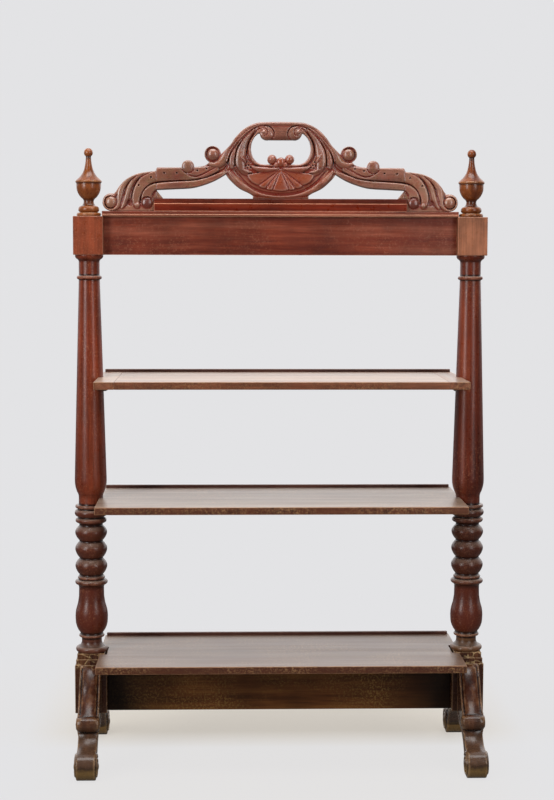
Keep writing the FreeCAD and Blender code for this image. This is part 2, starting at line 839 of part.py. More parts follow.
def lip(shelf):
    """A strip along the back edge of a shelf, let into its rebate and standing above its top."""
    strip = box(
        f"{shelf}_strip",
        centered("lip_length"),
        ("shelf_depth / 2 - lip_thickness", "shelf_depth / 2"),
        (f"{shelf}_top - lip_rebate_depth", f"{shelf}_top + lip_height"),
    )
    keep(strip, f"{shelf}_lip")


def cleat(side, sign):
    """A batten across the post, screwed to the column and to the shelf above it."""
    cleat_x = on_side(sign, "post_offset - cleat_front", "post_offset - cleat_notch_radius + cleat_wrap")
    cleat_z = ("cleat_underside", "upper_shelf_underside")
    batten = box(f"{side}_batten", cleat_x, centered("cleat_length"), cleat_z)
    cutters = notches(f"{side}_cleat_notch", "cleat_notch_radius", *cleat_z)
    cutters += shelf_screw_bores(f"{side}_cleat_bore")
    cutters.append(post_screw_shank(f"{side}_cleat_post_bore", side, sign, "fit_clearance"))
    keep(cut(f"{side}_cleat_cut", batten, cutters), f"{side}_cleat")


def post_screw_shank(name, side, sign, clearance="0"):
    return rod(
        name,
        f"screw_diameter + 2 * {clearance}",
        "post_screw_length",
        f"{sign} * (post_offset - cleat_front)",
        "0",
        "cleat_middle",
        "x" if sign > 0 else "-x",
    )


def cleat_screws():
    """Upright screws into the shelf ends and one level screw into each post, all round-headed."""
    screws = []
    head_top = "cleat_underside"
    head_foot = "cleat_underside - screw_head_height"
    for place_name, x, y in cleat_screw_places():
        shank = rod(f"screw_{place_name}_shank", "screw_diameter", "cleat_screw_length", x, y, head_top)
        head = rod(f"screw_{place_name}_head", "screw_head_diameter", "screw_head_height", x, y, head_foot)
        screws.append(fused(f"screw_{place_name}", [shank, head]))
    for side, sign in SIDES:
        shank = post_screw_shank(f"post_screw_{side}_shank", side, sign)
        head = rod(
            f"post_screw_{side}_head",
            "screw_head_diameter",
            "screw_head_height",
            f"{sign} * (post_offset - cleat_front)",
            "0",
            "cleat_middle",
            "-x" if sign > 0 else "x",
        )
        screws.append(fused(f"post_screw_{side}", [shank, head]))
    keep(group("cleat_screw_group", screws), "cleat_screws")


# Base blocks, stretcher and scroll legs


def base_block(side, sign):
    """The square block under a post, with a stepped top, a socket and a mortise."""
    body = new_body(f"{side}_base_block")
    foot = "base_block_bottom"
    for number, top in enumerate(("leg_top", "leg_top + plinth_step_height", "bottom_shelf_top")):
        width = f"base_block_width - 2 * {number} * plinth_step_inset"
        square = rectangle(centered(width), centered(width))
        sketch = outline(body, f"{side}_block_tier_{number}", "XY_Plane", square, foot)
        pad(body, sketch, f"{top} - ({foot})")
        foot = top

    mouth = "bottom_shelf_top"
    socket_diameter = "post_spigot_diameter + 2 * fit_clearance"
    socket = round_outline(body, f"{side}_block_socket", "XY_Plane", "0", "0", socket_diameter, mouth)
    pocket(body, socket, "post_spigot_length + fit_clearance")

    mortise = rectangle(
        centered("stretcher_tenon_thickness + 2 * fit_clearance"),
        (
            "base_block_bottom + stretcher_tenon_shoulder - fit_clearance",
            "post_spigot_foot - stretcher_tenon_shoulder + fit_clearance",
        ),
    )
    mortise_floor = "base_block_width / 2 - stretcher_tenon_length - fit_clearance"
    mortise_sketch = outline(body, f"{side}_block_mortise", "YZ_Plane", mortise, mortise_floor)
    pocket(body, mortise_sketch, "stretcher_tenon_length + cut_overrun", forward=True)

    for number, share in enumerate(LEG_DOWEL_SHARES):
        for end, forward in ENDS:
            name = f"{side}_block_{end}_bore_{number}"
            sketch = leg_bore_sketch(body, name, share, f"{-forward} * leg_back")
            pocket(body, sketch, "leg_dowel_length / 2 + fit_clearance", forward=forward > 0)
    place(body, f"{sign} * post_offset", angle=0 if sign < 0 else 180)
    keep(body, f"{side}_base_block")


def leg_dowel_height(share):
    return f"base_block_bottom + {share} * (post_spigot_foot - base_block_bottom)"


def leg_bore_sketch(body, name, share, offset):
    bore = "leg_dowel_diameter + 2 * fit_clearance"
    return round_outline(body, name, "XZ_Plane", "0", leg_dowel_height(share), bore, offset)


def stretcher():
    """The board on edge under the bottom shelf, tenoned into the base blocks."""
    board_z = ("base_block_bottom", "bottom_shelf_underside")
    board = box("stretcher_board", centered("2 * base_inner_face"), centered("stretcher_thickness"), board_z)
    tenon_x = centered("2 * (base_inner_face + stretcher_tenon_length)")
    tenon_z = ("base_block_bottom + stretcher_tenon_shoulder", "post_spigot_foot - stretcher_tenon_shoulder")
    tenons = box("stretcher_tenons", tenon_x, centered("stretcher_tenon_thickness"), tenon_z)
    whole = fused("stretcher_whole", [board, tenons])
    keep(cut("stretcher_bored", whole, shelf_dowel_rods("stretcher_bore", "fit_clearance")), "stretcher")


def shelf_dowel_rods(name, clearance="0"):
    return [
        rod(
            f"{name}_{number}",
            f"shelf_dowel_diameter + 2 * {clearance}",
            f"shelf_dowel_length + 2 * {clearance}",
            f"{share} * base_inner_face",
            "0",
            f"bottom_shelf_underside + shelf_dowel_entry - shelf_dowel_length - {clearance}",
        )
        for number, share in enumerate(SHELF_DOWEL_SHARES)
    ]


def leg(side, sign, end, forward):
    """A scroll leg: an ogee front over a knee roll, a hollow ankle and a toe scroll with round eyes."""
    name = f"{side}_{end}_leg"
    body = new_body(name)
    shoulder_along, shoulder_up = LEG_SHOULDER_SHARES
    points = [
        ("-leg_back", "base_block_bottom", 0),
        ("-leg_back", "leg_top", LEG_SHOULDER_ARC),
        (
            f"-(leg_back + {shoulder_along} * (knee_distance - leg_back))",
            f"knee_height + {shoulder_up} * (leg_top - knee_height)",
            LEG_OGEE_ARC,
        ),
        ("-knee_distance", "knee_height + knee_diameter / 2", 0),
        ("-knee_distance", f"knee_height - {LEG_ANKLE_SHARE} * knee_diameter", LEG_ANKLE_ARC),
        ("-toe_distance", "toe_diameter", HALF_TURN),
        ("-toe_distance", "0", 0),
        ("-toe_distance + toe_flat", "0", LEG_ARCH_ARC),
    ]
    pad(body, outline(body, f"{name}_profile", "YZ_Plane", points), "leg_width", symmetric=True)
    knee = round_outline(body, f"{name}_knee", "YZ_Plane", "-knee_distance", "knee_height", "knee_diameter")
    pad(body, knee, "leg_width + eye_relief", symmetric=True)
    toe_eye = round_outline(
        body, f"{name}_toe_eye", "YZ_Plane", "-toe_distance", "toe_diameter / 2", "toe_eye_diameter"
    )
    pad(body, toe_eye, "leg_width + 2 * eye_relief", symmetric=True)
    for number, share in enumerate(LEG_DOWEL_SHARES):
        sketch = leg_bore_sketch(body, f"{name}_bore_{number}", share, "leg_back")
        pocket(body, sketch, "leg_dowel_length / 2 + fit_clearance", forward=True)
    place(body, f"{sign} * post_offset", angle=0 if forward < 0 else 180)
    keep(body, name)


def leg_dowels():
    dowels = []
    for side, sign in SIDES:
        for end, forward in ENDS:
            for number, share in enumerate(LEG_DOWEL_SHARES):
                dowels.append(rod(
                    f"leg_dowel_{side}_{end}_{number}",
                    "leg_dowel_diameter",
                    "leg_dowel_length",
                    f"{sign} * post_offset",
                    f"{forward} * leg_back - leg_dowel_length / 2",
                    leg_dowel_height(share),
                    "y",
                ))
    keep(group("leg_dowel_group", dowels), "leg_dowels")


def build():
    for side, sign in SIDES:
        post(side, sign)
        finial(side, sign)
        base_block(side, sign)
        cleat(side, sign)
        crest_wing(side, sign)
        crest_end(side, sign)
        for end, forward in ENDS:
            leg(side, sign, end, forward)
    apron_rail()
    cap_board()
    crest_base_rail()
    crest_center()
    crest_dowels()
    upper_shelf()
    middle_shelf()
    bottom_shelf()
    lip("upper_shelf")
    lip("middle_shelf")
    lip("bottom_shelf")
    cleat_screws()
    stretcher()
    leg_dowels()
    keep(group("shelf_dowel_group", shelf_dowel_rods("shelf_dowel")), "shelf_dowels")


def check():
    """Stops when an object failed to build or a piece has no sound solid."""
    for thing in doc.Objects:
        if "Invalid" in thing.State or "Error" in thing.State:
            raise RuntimeError(f"{thing.Name} failed: {thing.State}")
    for piece in pieces:
        if piece.Shape.isNull() or not piece.Shape.isValid() or not piece.Shape.Solids:
            raise RuntimeError(f"{piece.Label} has no valid solid")


def write():
    os.makedirs("parts", exist_ok=True)
    for piece in pieces:
        piece.Shape.exportStep(os.path.join("parts", f"{piece.Label}.step"))
        print(piece.Label, len(piece.Shape.Solids), "solids", round(piece.Shape.Volume), "cubic mm")


build()
doc.recompute()
check()
write()
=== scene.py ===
import math
from collections import namedtuple

import bpy
import numpy as np
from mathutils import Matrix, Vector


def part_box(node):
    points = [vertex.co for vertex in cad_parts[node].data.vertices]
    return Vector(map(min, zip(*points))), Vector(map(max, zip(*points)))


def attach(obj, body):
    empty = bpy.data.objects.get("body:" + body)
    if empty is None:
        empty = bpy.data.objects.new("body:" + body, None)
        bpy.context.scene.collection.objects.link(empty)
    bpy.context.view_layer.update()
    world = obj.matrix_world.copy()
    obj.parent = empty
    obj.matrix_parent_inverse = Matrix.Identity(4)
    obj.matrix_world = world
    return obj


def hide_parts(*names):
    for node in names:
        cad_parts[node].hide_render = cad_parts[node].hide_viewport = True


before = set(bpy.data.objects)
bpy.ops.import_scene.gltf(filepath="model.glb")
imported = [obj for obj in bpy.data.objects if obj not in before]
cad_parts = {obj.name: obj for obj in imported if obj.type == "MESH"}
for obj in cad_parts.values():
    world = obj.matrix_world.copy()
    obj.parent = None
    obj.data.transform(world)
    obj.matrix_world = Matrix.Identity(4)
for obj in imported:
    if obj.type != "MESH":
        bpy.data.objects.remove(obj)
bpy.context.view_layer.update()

import openvdb
from mathutils import Matrix, Vector

# Looks of an open mahogany etagere: turned posts, worn boards, a carved crest and scroll legs.
# Shapes are drawn in millimetres, and add_piece turns them into metres. The front faces -Y.

METRE = 1000.0
SIDES = (("left", -1), ("right", 1))
ENDS = (("front", -1), ("back", 1))

# Finish of edges and the fineness of the meshes
BOARD_EDGE = 1.3
BOARD_CELL = 14.0
EDGE_MARGINS = (2.5, 7.0)
EDGE_TURNS = (45, 30, 15)
EDGE_STAND = 0.7
TURNED_EDGE = 0.9
TURNED_STEP = 5.0
ARC_STEP = 9.0
SHARP_BEND = math.cos(math.radians(25))
TURNED_FACETS = 96
BLOCK_EDGE = 1.6
CREST_VOXEL = 1.1
LEG_VOXEL = 1.3
CARVED_EDGE = 2.6
CARVED_BAND = 4.0
BLUR_CELLS = 3
BACK_KEPT_SHARE = 0.72
BACK_NEAR = 0.05
RIM_ROWS = 4


def node_box(node):
    """Lowest and highest corner of a node of the frame, in millimetres."""
    low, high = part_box(node)
    return np.array(low) * METRE, np.array(high) * METRE


# Levels and places that the frame gives
POST_X = float(sum(corner[0] for corner in node_box("right_post")) / 2)
BLOCK_TOP = node_box("right_post")[1][2]
BLOCK_FOOT = node_box("apron_rail")[0][2]
BLOCK_HALF = 34.0
CAP_TOP = node_box("cap_board")[1][2]
# Height of the lower, thicker part of the crest's base rail
BASE_RAIL_STEP = 18.0
MIDDLE_FOOT, MIDDLE_TOP = (corner[2] for corner in node_box("middle_shelf"))
BOTTOM_TOP = node_box("bottom_shelf")[1][2]
CREST_BACK = node_box("crest_center")[1][1]

# A surface: its points, its faces, and how far each point stands out of the surface beside it
Shape = namedtuple("Shape", "points faces stand")


# Meshes from points and faces


def add_piece(name, shape):
    """A new object with the shape's mesh."""
    mesh = bpy.data.meshes.new(name)
    mesh.from_pydata((shape.points / METRE).tolist(), [], [list(map(int, face)) for face in shape.faces])
    set_attribute(mesh, "stand", "FLOAT", shape.stand)
    piece = bpy.data.objects.new(name, mesh)
    bpy.context.scene.collection.objects.link(piece)
    return piece


def set_attribute(mesh, name, kind, values):
    attribute = mesh.attributes.new(name, kind, "POINT")
    key = "vector" if kind == "FLOAT_VECTOR" else "value"
    attribute.data.foreach_set(key, np.asarray(values, np.float32).ravel())


def joined(shapes):
    """One shape from several."""
    faces = []
    count = 0
    for shape in shapes:
        faces += [[int(corner) + count for corner in face] for face in shape.faces]
        count += len(shape.points)
    points = np.concatenate([shape.points for shape in shapes])
    return Shape(points, faces, np.concatenate([shape.stand for shape in shapes]))


def turned_over(shape, factors):
    """A mirror image: one of the three factors is -1."""
    return Shape(shape.points * factors, [list(face)[::-1] for face in shape.faces], shape.stand)


def axis_lines(low, high, edge, cell):
    """Places of grid lines along one side of a box, close together on and near its rounded edges."""
    turns = np.tan(np.radians(EDGE_TURNS))
    inner = list(np.linspace(low + edge, high - edge, max(3, int(round((high - low) / cell)) + 1)))
    for margin in EDGE_MARGINS:
        if high - low > 4 * (edge + margin):
            inner += [low + edge + margin, high - edge - margin]
    return np.concatenate([low + edge - edge * turns, sorted(inner), high - edge + edge * turns[::-1]])


def rounded_box(low, high, edge=BOARD_EDGE, cell=BOARD_CELL):
    """A box with rounded edges, in cells of about one size."""
    low = np.asarray(low, float)
    high = np.asarray(high, float)
    lines = [axis_lines(low[axis], high[axis], edge, cell) for axis in range(3)]
    quads = []
    for axis in range(3):
        first, second = (axis + 1) % 3, (axis + 2) % 3
        across, up = np.meshgrid(range(len(lines[first]) - 1), range(len(lines[second]) - 1), indexing="ij")
        for end in (0, len(lines[axis]) - 1):
            corners = []
            for step in ((0, 0), (1, 0), (1, 1), (0, 1)):
                index = np.zeros(across.shape + (3,), int)
                index[..., axis] = end
                index[..., first] = across + step[0]
                index[..., second] = up + step[1]
                corners.append(index.reshape(-1, 3))
            quad = np.stack(corners, 1)
            quads.append(quad if end else quad[:, ::-1])
    lattice, faces = np.unique(np.concatenate(quads).reshape(-1, 3), axis=0, return_inverse=True)
    points = np.stack([lines[axis][lattice[:, axis]] for axis in range(3)], 1)
    core = np.clip(points, low + edge, high - edge)
    away = points - core
    on_edge = (np.abs(away) > edge / 20).sum(1) > 1
    points = core + away * edge / np.linalg.norm(away, axis=1, keepdims=True)
    return Shape(points, faces.reshape(-1, 4), EDGE_STAND * on_edge)


def node_board(node, edge=BOARD_EDGE, cell=BOARD_CELL):
    return rounded_box(*node_box(node), edge, cell)


def applied(piece):
    """Turns an object's modifiers into its mesh."""
    graph = bpy.context.evaluated_depsgraph_get()
    mesh = bpy.data.meshes.new_from_object(piece.evaluated_get(graph))
    piece.modifiers.clear()
    piece.data = mesh


def cut_out(piece, cutter):
    """Cuts one object's mesh with another's, which is then removed."""
    change = piece.modifiers.new("cut", "BOOLEAN")
    change.operation = "DIFFERENCE"
    change.solver = "EXACT"
    change.object = cutter
    applied(piece)
    bpy.data.objects.remove(cutter)


# Turned shapes


def arc_points(start, end, angle):
    """Points from start up to, but not at, end: an arc that swells to the right of its way."""
    start = np.asarray(start, float)
    end = np.asarray(end, float)
    chord = end - start
    if angle == 0:
        count = max(1, int(np.linalg.norm(chord) / TURNED_STEP))
        return [start + chord * step / count for step in range(count)]
    half = math.radians(angle) / 2
    center = (start + end) / 2 - np.array((chord[1], -chord[0])) / 2 / math.tan(half)
    count = max(3, int(abs(angle) / ARC_STEP))
    line = []
    for step in range(count):
        turn = 2 * half * step / count
        spin = np.array(((math.cos(turn), -math.sin(turn)), (math.sin(turn), math.cos(turn))))
        line.append(center + spin @ (start - center))
    return line


def eased(points, reach):
    """The same line with each sharp corner replaced by a small curve."""
    line = [points[0]]
    for before, corner, after in zip(points, points[1:], points[2:]):
        into = corner - before
        out = after - corner
        lengths = np.linalg.norm(into), np.linalg.norm(out)
        bend = np.dot(into, out) / max(lengths[0] * lengths[1], 1e-9)
        if bend > SHARP_BEND:
            line.append(corner)
            continue
        start = corner - into / lengths[0] * min(reach, 0.4 * lengths[0])
        end = corner + out / lengths[1] * min(reach, 0.4 * lengths[1])
        line += [start, (start + 2 * corner + end) / 4, end]
    return line + [points[-1]]


def profile_stand(line):
    """How far each point of a profile stands out of the stretch around it."""
    line = np.array(line)
    lengths = np.concatenate([[0], np.cumsum(np.linalg.norm(np.diff(line, axis=0), axis=1))])
    step = 0.5
    reach = 6
    fine = np.arange(0, lengths[-1], step)
    run = np.stack([np.interp(fine, lengths, line[:, column]) for column in (0, 1)], 1)
    padded = np.pad(run, ((reach, reach), (0, 0)), mode="edge")
    sums = np.cumsum(np.concatenate([np.zeros((1, 2)), padded]), axis=0)
    mean = (sums[2 * reach + 1:] - sums[:-2 * reach - 1]) / (2 * reach + 1)
    way = np.gradient(run, axis=0)
    outward = np.stack([way[:, 1], -way[:, 0]], 1)
    outward /= np.maximum(np.linalg.norm(outward, axis=1, keepdims=True), 1e-9)
    return np.interp(lengths, fine, ((run - mean) * outward).sum(1))


def turned(rows, center, edge=TURNED_EDGE, facets=TURNED_FACETS):
    """A solid of revolution about an upright axis, from rows of (radius, height, arc to the next)."""
    line = []
    for (radius, height, angle), following in zip(rows, rows[1:]):
        line += arc_points((radius, height), following[:2], angle)
    line.append(np.array(rows[-1][:2], float))
    line = eased(line, edge)
    angles = np.arange(facets) * 2 * math.pi / facets
    ring = np.stack([np.cos(angles), np.sin(angles)], 1)
    points = []
    for radius, height in line:
        points.append(np.column_stack([ring * max(radius, 0) + center, np.full(facets, height)]))
    faces = []
    for row in range(len(line) - 1):
        for facet in range(facets):
            beside = (facet + 1) % facets
            foot, top = row * facets, (row + 1) * facets
            faces.append((foot + facet, foot + beside, top + beside, top + facet))
    faces.append(range(facets - 1, -1, -1))
    faces.append(range((len(line) - 1) * facets, len(line) * facets))
    return Shape(np.concatenate(points), faces, np.repeat(profile_stand(line), facets))


def zone(shares, foot, height, diameter):
    """Turned rows from shares of a zone's height and diameter."""
    return [(radius * diameter / 2, foot + up * height, angle) for up, radius, angle in shares]


# Rows of the turnings: share of the zone's height, share of its diameter, arc to the next row
TURNING = 75.0
COLLAR_STACK = 47.0
NECK = 59.0
COLUMN_TOP, COLUMN_FOOT = 48.5, 74.0
WAIST, WAIST_RISE, SWELL = 56.0, 2.0, 41.0
POST_LOWER_SHARES = [
    (0.000, 0.880, 130),
    (0.042, 0.880, 0),
    (0.044, 0.810, -50),
    (0.078, 0.620, 0),
    (0.112, 0.620, 0),
    (0.116, 0.720, 150),
    (0.138, 0.720, 0),
    (0.148, 0.690, 42),
    (0.254, 1.000, 16),
    (0.335, 0.960, -22),
    (0.488, 0.775, 0),
    (0.512, 0.775, -60),
    (0.534, 0.920, 130),
    (0.567, 0.920, 0),
    (0.575, 0.780, 130),
    (0.598, 0.780, 0),
    (0.604, 0.745, -40),
]
FLAT_BEAD_SHARES = [(0.000, 0.735, 24), (0.370, 0.955, 42), (0.700, 0.955, 24), (1.000, 0.735, -80)]
FLAT_BEAD_SPAN_SHARES = [(0.612, 0.736), (0.744, 0.870), (0.880, 0.994)]
COLLAR_SHARES = [
    (0.080, 0.760, 0),
    (0.120, 0.870, 130),
    (0.340, 0.870, 0),
    (0.360, 0.810, 0),
    (0.430, 0.810, 0),
    (0.440, 0.900, 110),
    (0.760, 0.900, 0),
    (0.780, 0.820, 0),
    (0.840, 0.820, 0),
    (0.850, 0.910, 110),
    (0.980, 0.930, 0),
    (1.000, 0.930, 0),
]
WAIST_ARC = -30
SWELL_SHARES = [(0.28, 0.86, 24)]
NECK_SHARES = [
    (0.040, 0.995, 0),
    (0.050, 1.060, 150),
    (0.190, 1.060, 0),
    (0.200, 0.990, 0),
    (0.760, 0.990, -30),
    (0.830, 1.110, 60),
    (0.960, 1.340, 0),
    (1.000, 1.340, 0),
]
FINIAL = 55.5
FINIAL_SHARES = [
    (0.000, 0.940, 90),
    (0.052, 0.940, 0),
    (0.056, 0.700, 130),
    (0.150, 0.700, 0),
    (0.158, 0.560, -50),
    (0.235, 0.424, -40),
    (0.270, 0.600, 48),
    (0.460, 1.015, 0),
    (0.490, 1.025, 120),
    (0.530, 1.025, 0),
    (0.545, 0.940, -38),
    (0.690, 0.370, -16),
    (0.885, 0.215, 0),
]
FINIAL_BALL_SHARE = 0.370


def post_axis(sign):
    return np.array((sign * POST_X, 0.0))


def post_shape(sign):
    lower = MIDDLE_FOOT - COLLAR_STACK
    waist_top = MIDDLE_TOP + WAIST_RISE
    column_top = BLOCK_FOOT - NECK
    height = lower - BOTTOM_TOP
    rows = zone(POST_LOWER_SHARES, BOTTOM_TOP, height, TURNING)
    for foot, top in FLAT_BEAD_SPAN_SHARES:
        rows += zone(FLAT_BEAD_SHARES, BOTTOM_TOP + foot * height, (top - foot) * height, TURNING)
    rows += zone(COLLAR_SHARES, lower, COLLAR_STACK, TURNING)
    rows += [(WAIST / 2, MIDDLE_FOOT, 0), (WAIST / 2, waist_top, WAIST_ARC)]
    rows += zone(SWELL_SHARES, waist_top, SWELL, COLUMN_FOOT)
    rows += [(COLUMN_FOOT / 2, waist_top + SWELL, 0), (COLUMN_TOP / 2, column_top, 0)]
    rows += zone(NECK_SHARES, column_top, NECK, COLUMN_TOP)
    low = (*(post_axis(sign) - BLOCK_HALF), BLOCK_FOOT)
    high = (*(post_axis(sign) + BLOCK_HALF), BLOCK_TOP)
    return joined([turned(rows, post_axis(sign)), rounded_box(low, high, BLOCK_EDGE)])


def finial_shape(sign):
    top = node_box("right_finial")[1][2]
    ball = FINIAL_BALL_SHARE * FINIAL / 2
    rows = zone(FINIAL_SHARES, BLOCK_TOP, top - BLOCK_TOP, FINIAL)
    neck = rows[-1][0]
    seat = top - ball - math.sqrt(ball ** 2 - neck ** 2)
    rows[-1] = (neck, seat, 180 - math.degrees(math.asin(neck / ball)))
    rows.append((0.0, top, 0))
    return turned(rows, post_axis(sign))


# Carved shapes: an outline, and a height above the middle plane, on a grid of cells


def smooth_curve(rows, steps=8):
    """A curve through rows of numbers."""
    rows = np.asarray(rows, float)
    if len(rows) < 3:
        return rows
    ends = np.concatenate([[2 * rows[0] - rows[1]], rows, [2 * rows[-1] - rows[-2]]])
    curve = []
    for a, b, c, d in zip(ends, ends[1:], ends[2:], ends[3:]):
        for t in np.arange(steps) / steps:
            bend = (a - 2.5 * b + 2 * c - d / 2) * t ** 2 + (1.5 * (b - c) + (d - a) / 2) * t ** 3
            curve.append(b + (c - a) * t / 2 + bend)
    return np.array(curve + [rows[-1]])


def nearest(across, up, curve):
    """Distance from each cell to a curve, and the curve's other columns at the nearest point."""
    best = np.full(across.shape, np.inf)
    extra = np.zeros(across.shape + (curve.shape[1] - 2,))
    for start, end in zip(curve, curve[1:]):
        way = end[:2] - start[:2]
        along = ((across - start[0]) * way[0] + (up - start[1]) * way[1]) / max(way @ way, 1e-9)
        along = np.clip(along, 0, 1)
        gap = np.hypot(across - start[0] - along * way[0], up - start[1] - along * way[1])
        closer = gap < best
        best[closer] = gap[closer]
        extra[closer] = start[2:] + along[closer][:, None] * (end - start)[2:]
    return best, extra


def inside_distance(across, up, runs):
    """Signed distance to a closed outline, negative inside. Each run is smooth, and runs meet in corners."""
    line = np.concatenate([smooth_curve(run)[:-1] for run in runs])
    loop = np.concatenate([line, line[:1]])
    gap = nearest(across, up, loop)[0]
    crossings = np.zeros(across.shape, bool)
    for start, end in zip(loop, loop[1:]):
        if start[1] == end[1]:
            continue
        spans = (start[1] > up) != (end[1] > up)
        at = start[0] + (up - start[1]) * (end[0] - start[0]) / (end[1] - start[1])
        crossings ^= spans & (across < at)
    return np.where(crossings, -gap, gap)


def rising(values, start, span):
    """From 0 at a start to 1 at the end of a span."""
    return np.clip((values - start) / span, 0, 1)


# How a rib falls from its crown, 0, to its foot, 1
RIB_FORMS = {
    "round": lambda share: (1 - share ** 2) ** 0.7,
    "ridge": lambda share: (1 - share) ** 1.5,
    "flat": lambda share: (1 - share ** 8) ** 0.7,
}


class Carving:
    """A grid of cells with an outline distance and a front height, which strokes raise and lower."""

    def __init__(self, across, up, ground):
        self.across, self.up = np.meshgrid(across, up, indexing="ij")
        self.inside = np.full(self.across.shape, np.inf)
        self.height = np.full(self.across.shape, float(ground))

    def add_outline(self, runs):
        self.inside = np.minimum(self.inside, inside_distance(self.across, self.up, runs))

    def cut_outline(self, runs):
        self.inside = np.maximum(self.inside, -inside_distance(self.across, self.up, runs))

    def from_center(self, center):
        return np.hypot(self.across - center[0], self.up - center[1])

    def round_share(self, center, radius):
        """From 0 at a centre to 1 at a radius and beyond it."""
        return np.minimum(self.from_center(center) / radius, 1)

    def add_disc(self, center, radius):
        self.inside = np.minimum(self.inside, self.from_center(center) - radius)

    def window(self, curve, margin):
        """The part of the grid that a stroke can reach."""
        low = curve[:, :2].min(0) - margin
        high = curve[:, :2].max(0) + margin
        first = np.searchsorted(self.across[:, 0], (low[0], high[0]))
        second = np.searchsorted(self.up[0], (low[1], high[1]))
        return slice(*first), slice(*second)

    def stroke(self, rows):
        """The cells near a stroke of (across, up, half width, level): window, share of width, level."""
        curve = smooth_curve(rows)
        part = self.window(curve, curve[:, 2].max())
        gap, extra = nearest(self.across[part], self.up[part], curve)
        return part, np.clip(gap / np.maximum(extra[..., 0], 1e-6), 0, 1), extra[..., 1]

    def lift(self, shown, level, part=...):
        """Raises the cells that are shown to a level, unless they are higher."""
        self.height[part] = np.where(shown, np.maximum(self.height[part], level), self.height[part])

    def rib(self, rows, foot, form="round"):
        """Raises a rib along a stroke."""
        part, share, level = self.stroke(rows)
        self.lift(share < 1, foot + (level - foot) * RIB_FORMS[form](share), part)

    def groove(self, rows):
        """Lowers a groove; the fourth number of each row is its depth."""
        part, share, depth = self.stroke(rows)
        self.height[part] -= depth * (1 - share ** 2)

    def dome(self, center, radius, foot, top):
        share = self.round_share(center, radius)
        self.lift(share < 1, foot + (top - foot) * np.sqrt(1 - share ** 2))

    def sink(self, center, radius, level):
        """Lowers a round place to a level, with soft sides."""
        share = self.round_share(center, radius)
        self.height = np.where(share < 1, np.minimum(self.height, level + 4 * share ** 6), self.height)

    def drill(self, center, radius, depth):
        share = self.round_share(center, radius)
        self.height -= depth * (1 - share ** 4)


def spiral(center, radii, start, sweep, half_widths, levels, count=18):
    """Stroke rows of a scroll that winds from the first radius to the second."""
    angle = np.radians(np.linspace(start, start + sweep, count))
    radius, half_width, level = (np.linspace(*ends, count) for ends in (radii, half_widths, levels))
    across = center[0] + radius * np.cos(angle)
    up = center[1] + radius * np.sin(angle)
    return np.column_stack([across, up, half_width, level])


def edge_drop(inside, radius):
    """How far a rounded edge falls below the face, by the distance from the outline."""
    share = np.clip(1 + inside / radius, 0, 1)
    return radius * (1 - np.sqrt(1 - share ** 2))


def blurred(field, cells):
    """Means of a block of cells over a small cube around each cell."""
    for axis in range(3):
        pad = [(0, 0)] * 3
        pad[axis] = (cells + 1, cells)
        sums = np.cumsum(np.pad(field, pad, mode="edge"), axis=axis)
        count = field.shape[axis]
        upper = np.take(sums, range(2 * cells + 1, count + 2 * cells + 1), axis)
        lower = np.take(sums, range(count), axis)
        field = (upper - lower) / (2 * cells + 1)
    return field


def sampled(field, places):
    """Values of a block of cells at places between the cells."""
    base = np.clip(np.floor(places).astype(int), 0, np.array(field.shape) - 2)
    rest = np.clip(places - base, 0, 1)
    total = np.zeros(len(places))
    for corner in np.ndindex(2, 2, 2):
        weight = np.prod(np.where(corner, rest, 1 - rest), axis=1)
        total += weight * field[tuple((base + corner).T)]
    return total


def volume_shape(field, origin, voxel, uncut=None):
    """The surface where a field of numbers on a block of cells passes zero, negative inside.

    A field without the cuts of its joints keeps the light edges of wear and painted highlight, and the
    painted hollow shade, off the joints.
    """
    grid = openvdb.FloatGrid(float(CARVED_BAND))
    grid.copyFromArray(np.ascontiguousarray(np.clip(field, -CARVED_BAND, CARVED_BAND), np.float32))
    points, triangles, quads = grid.convertToPolygons(0.0, 0.0)
    faces = [list(face)[::-1] for face in quads] + [list(face)[::-1] for face in triangles]
    whole = field if uncut is None else uncut
    stand = sampled(blurred(np.clip(whole, -CARVED_BAND, CARVED_BAND), BLUR_CELLS), points)
    return Shape(points * voxel + np.asarray(origin), faces, stand)


# The crest, drawn on its right half: across is the distance from the middle, up the height above the cap
CREST_WIDE, CREST_TALL = 411.0, 207.0
CREST_GROUND = 7.5
CREST_DEEPEST, CREST_PROUDEST = 4.8, 17.0
SEAM_WING, SEAM_END = 126.0, 285.0
SEAM_GAP = 0.05
FAR = 60.0
BUTTON = (156.0, 130.0)
BUTTON_BALL = (155.5, 129.5)
LOBE = (212.5, 102.0)
END_SCROLL = (388.5, 20.5)
END_BOSS = (306.3, 19.4)
BOSS_HOLLOW = (END_BOSS[0] + 43.0, END_BOSS[1])
BALL = (20.0, 118.5)
BUD = (0.0, 112.5)
BUD_FOOT = (10.0, 106.0)
VOLUTE = (32.0, 178.6)
SHELL_FOCUS = (0.0, 96.0)
SHELL_HEART = (0.0, 72.0)
SHELL_HALF, SHELL_DEPTH = 83.0, 50.5
SHELL_SPREAD = 81.0
# Angle and depth of the lines between the rays
SHELL_LINES = ((22.0, 1.9), (38.0, 1.2), (54.0, 1.9))
SHELL_LINE_HALF = 1.6
SHELL_FOOT, SHELL_LEVEL = 6.0, 9.4
SHELL_DISH, SHELL_CROWN = 1.8, 1.8
SHELL_SCALLOP_SHARE, SHELL_LIP_SHARE = 0.04, 0.05

